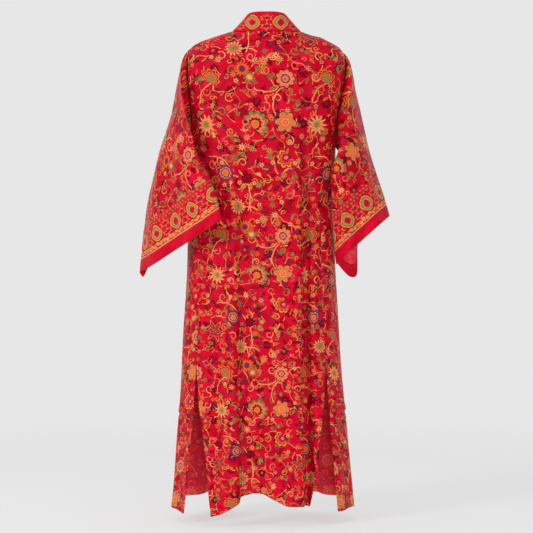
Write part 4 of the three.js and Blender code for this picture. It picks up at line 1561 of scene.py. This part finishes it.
# The plain cuffs and the collar's lining carry the same painted shade and sheen on their ground.
cuff_material, tree = new_material("silk satin, dyed red")
cuff_cloth = cloth_millimetres(tree)
satin(tree, cuff_cloth, print_ground_and_painted_sheen(tree, cuff_cloth))
reverse_silk = printed_silk("silk satin, reverse of the print", reverse=True)

# %% The thread
THREAD_TWISTS, TWIST_DEPTH = 900.0, 0.0002
thread, tree = new_material("spun silk thread, red")
twist = add(tree, "TexWave", {"Vector": add(tree, "TexCoord", out=3), "Scale": THREAD_TWISTS})
twist = add(tree, "Bump", {"Height": twist, "Strength": 0.4, "Distance": TWIST_DEPTH})
strand = {"Base Color": hex_colour(THREAD_RED), "Roughness": 0.5, "Normal": twist}
add(tree, "OutputMaterial", {"Surface": add(tree, "BsdfPrincipled", strand)}, out=None)
stitches.data.materials.append(thread)
print("thread on", stitches.name)


# %% Dressing the panels
def dressed(piece, outside, inside):
    """Gives a panel its printed face and, through Solidify, another material for its reverse."""
    piece.data.materials.append(outside)
    piece.data.materials.append(inside)
    piece.modifiers["thickness"].material_offset = 1


dressed(back, body_silk, reverse_silk)
dressed(collar, collar_silk, cuff_material)
for side in (1, -1):
    dressed(fronts[side], body_silk, reverse_silk)
    dressed(sleeves[side], sleeve_silk, reverse_silk)
    cuffs[side].data.materials.append(cuff_material)
print("8 panels dressed")

# %% [markdown]
# ## Floor
# In a pale studio, floor and wall are one soft tone, so that nothing leads the eye off the cloth. A
# curved paper sweep would give that from one side only. This floor is a round sheet that fades out
# into a pale world, and the robe can be looked at from every side. It glows a little of itself, so
# that the robe's shadow stays faint. The floor isn't part of the robe.

# %% Floor
FLOOR_Z, FLOOR_RADIUS, FADE_STARTS, FLOOR_SIDES = -1.262, 3.2, 1.7, 96
PAPER, PAPER_GLOW, PAPER_GLOW_STRENGTH = "#8E8E8E", "#BEBEBE", 1.085


def make_floor():
    bm = bmesh.new()
    centre = Matrix.Translation((0, 0, FLOOR_Z))
    bmesh.ops.create_circle(
        bm, cap_ends=True, segments=FLOOR_SIDES, radius=FLOOR_RADIUS, matrix=centre
    )
    mesh = bpy.data.meshes.new("studio_floor")
    bm.to_mesh(mesh)
    bm.free()
    floor = bpy.data.objects.new("studio_floor", mesh)
    bpy.context.collection.objects.link(floor)
    return floor


floor = make_floor()
paper, tree = new_material("matt studio paper")
radius = add(tree, "VectorMath", (add(tree, "TexCoord", out=3),), out=1, operation="LENGTH")
fading = (radius, FADE_STARTS, FLOOR_RADIUS, 1.0, 0.0)
kept = add(tree, "MapRange", fading, interpolation_type="SMOOTHSTEP")
lit = {"Emission Color": hex_colour(PAPER_GLOW), "Emission Strength": PAPER_GLOW_STRENGTH}
matt = {"Base Color": hex_colour(PAPER), "Roughness": 0.9, "Specular IOR Level": 0.0}
shader = add(tree, "BsdfPrincipled", {**matt, **lit, "Alpha": kept})
add(tree, "OutputMaterial", {"Surface": shader}, out=None)
floor.data.materials.append(paper)
print("floor at", FLOOR_Z, "m, just below the hem")

# %% [markdown]
# ## Light
# Large soft lamps give satin its broad, quiet highlights. One hard lamp would be simpler, but its
# glare and sharp shadows would hide the print. The key lamp stands to one side, so that the folds
# show, and the others fill. The world is brighter behind the robe than behind the camera, because
# a wall lit from above is pale, while the room in front of it isn't.

# %% The room
WALL_GLOW, ROOM_GLOW, GLOW_TURNS = 0.8, 0.42, 0.9
world = bpy.data.worlds.new("studio")
world.use_nodes = True
sky = world.node_tree
way = add(sky, "SeparateXYZ", (add(sky, "TexCoord"),), out=None)
glow = (way.outputs[1], -GLOW_TURNS, GLOW_TURNS, WALL_GLOW, ROOM_GLOW)
glow = add(sky, "MapRange", glow)
sky.nodes["Background"].inputs["Color"].default_value = (1, 1, 1, 1)
sky.links.new(glow, sky.nodes["Background"].inputs["Strength"])
bpy.context.scene.world = world
print("room glows from", ROOM_GLOW, "to", WALL_GLOW)


# %% Lamps
def soft_light(name, place, aim, size, watts):
    """A round lamp, size metres across, that shines from its place towards its aim."""
    lamp = bpy.data.lights.new(name, "AREA")
    lamp.shape = "DISK"
    lamp.size = size
    lamp.energy = watts
    light = bpy.data.objects.new(name, lamp)
    light.location = place
    light.rotation_euler = (Vector(aim) - Vector(place)).to_track_quat("-Z", "Y").to_euler()
    bpy.context.collection.objects.link(light)
    print(f"{name} lamp: {watts} W, {size} m across")


soft_light("key", (2.9, 2.5, 0.9), (0, 0, -0.6), 1.3, 72)
soft_light("beside the camera", (-0.5, 4.3, -0.3), (0, 0, -0.7), 1.1, 52)
soft_light("low fill", (-2.4, 2.2, -0.9), (0, 0, -0.9), 1.2, 9)
soft_light("top", (0, 0.4, 2.6), (0, 0, -0.6), 2.0, 12)

# %% [markdown]
# ## The flat cuts
# The loop below does nothing, and no sheet's flat size is declared. A bounding box would give too
# small a size, because folds and curves take up cloth.


for side in (1, -1):
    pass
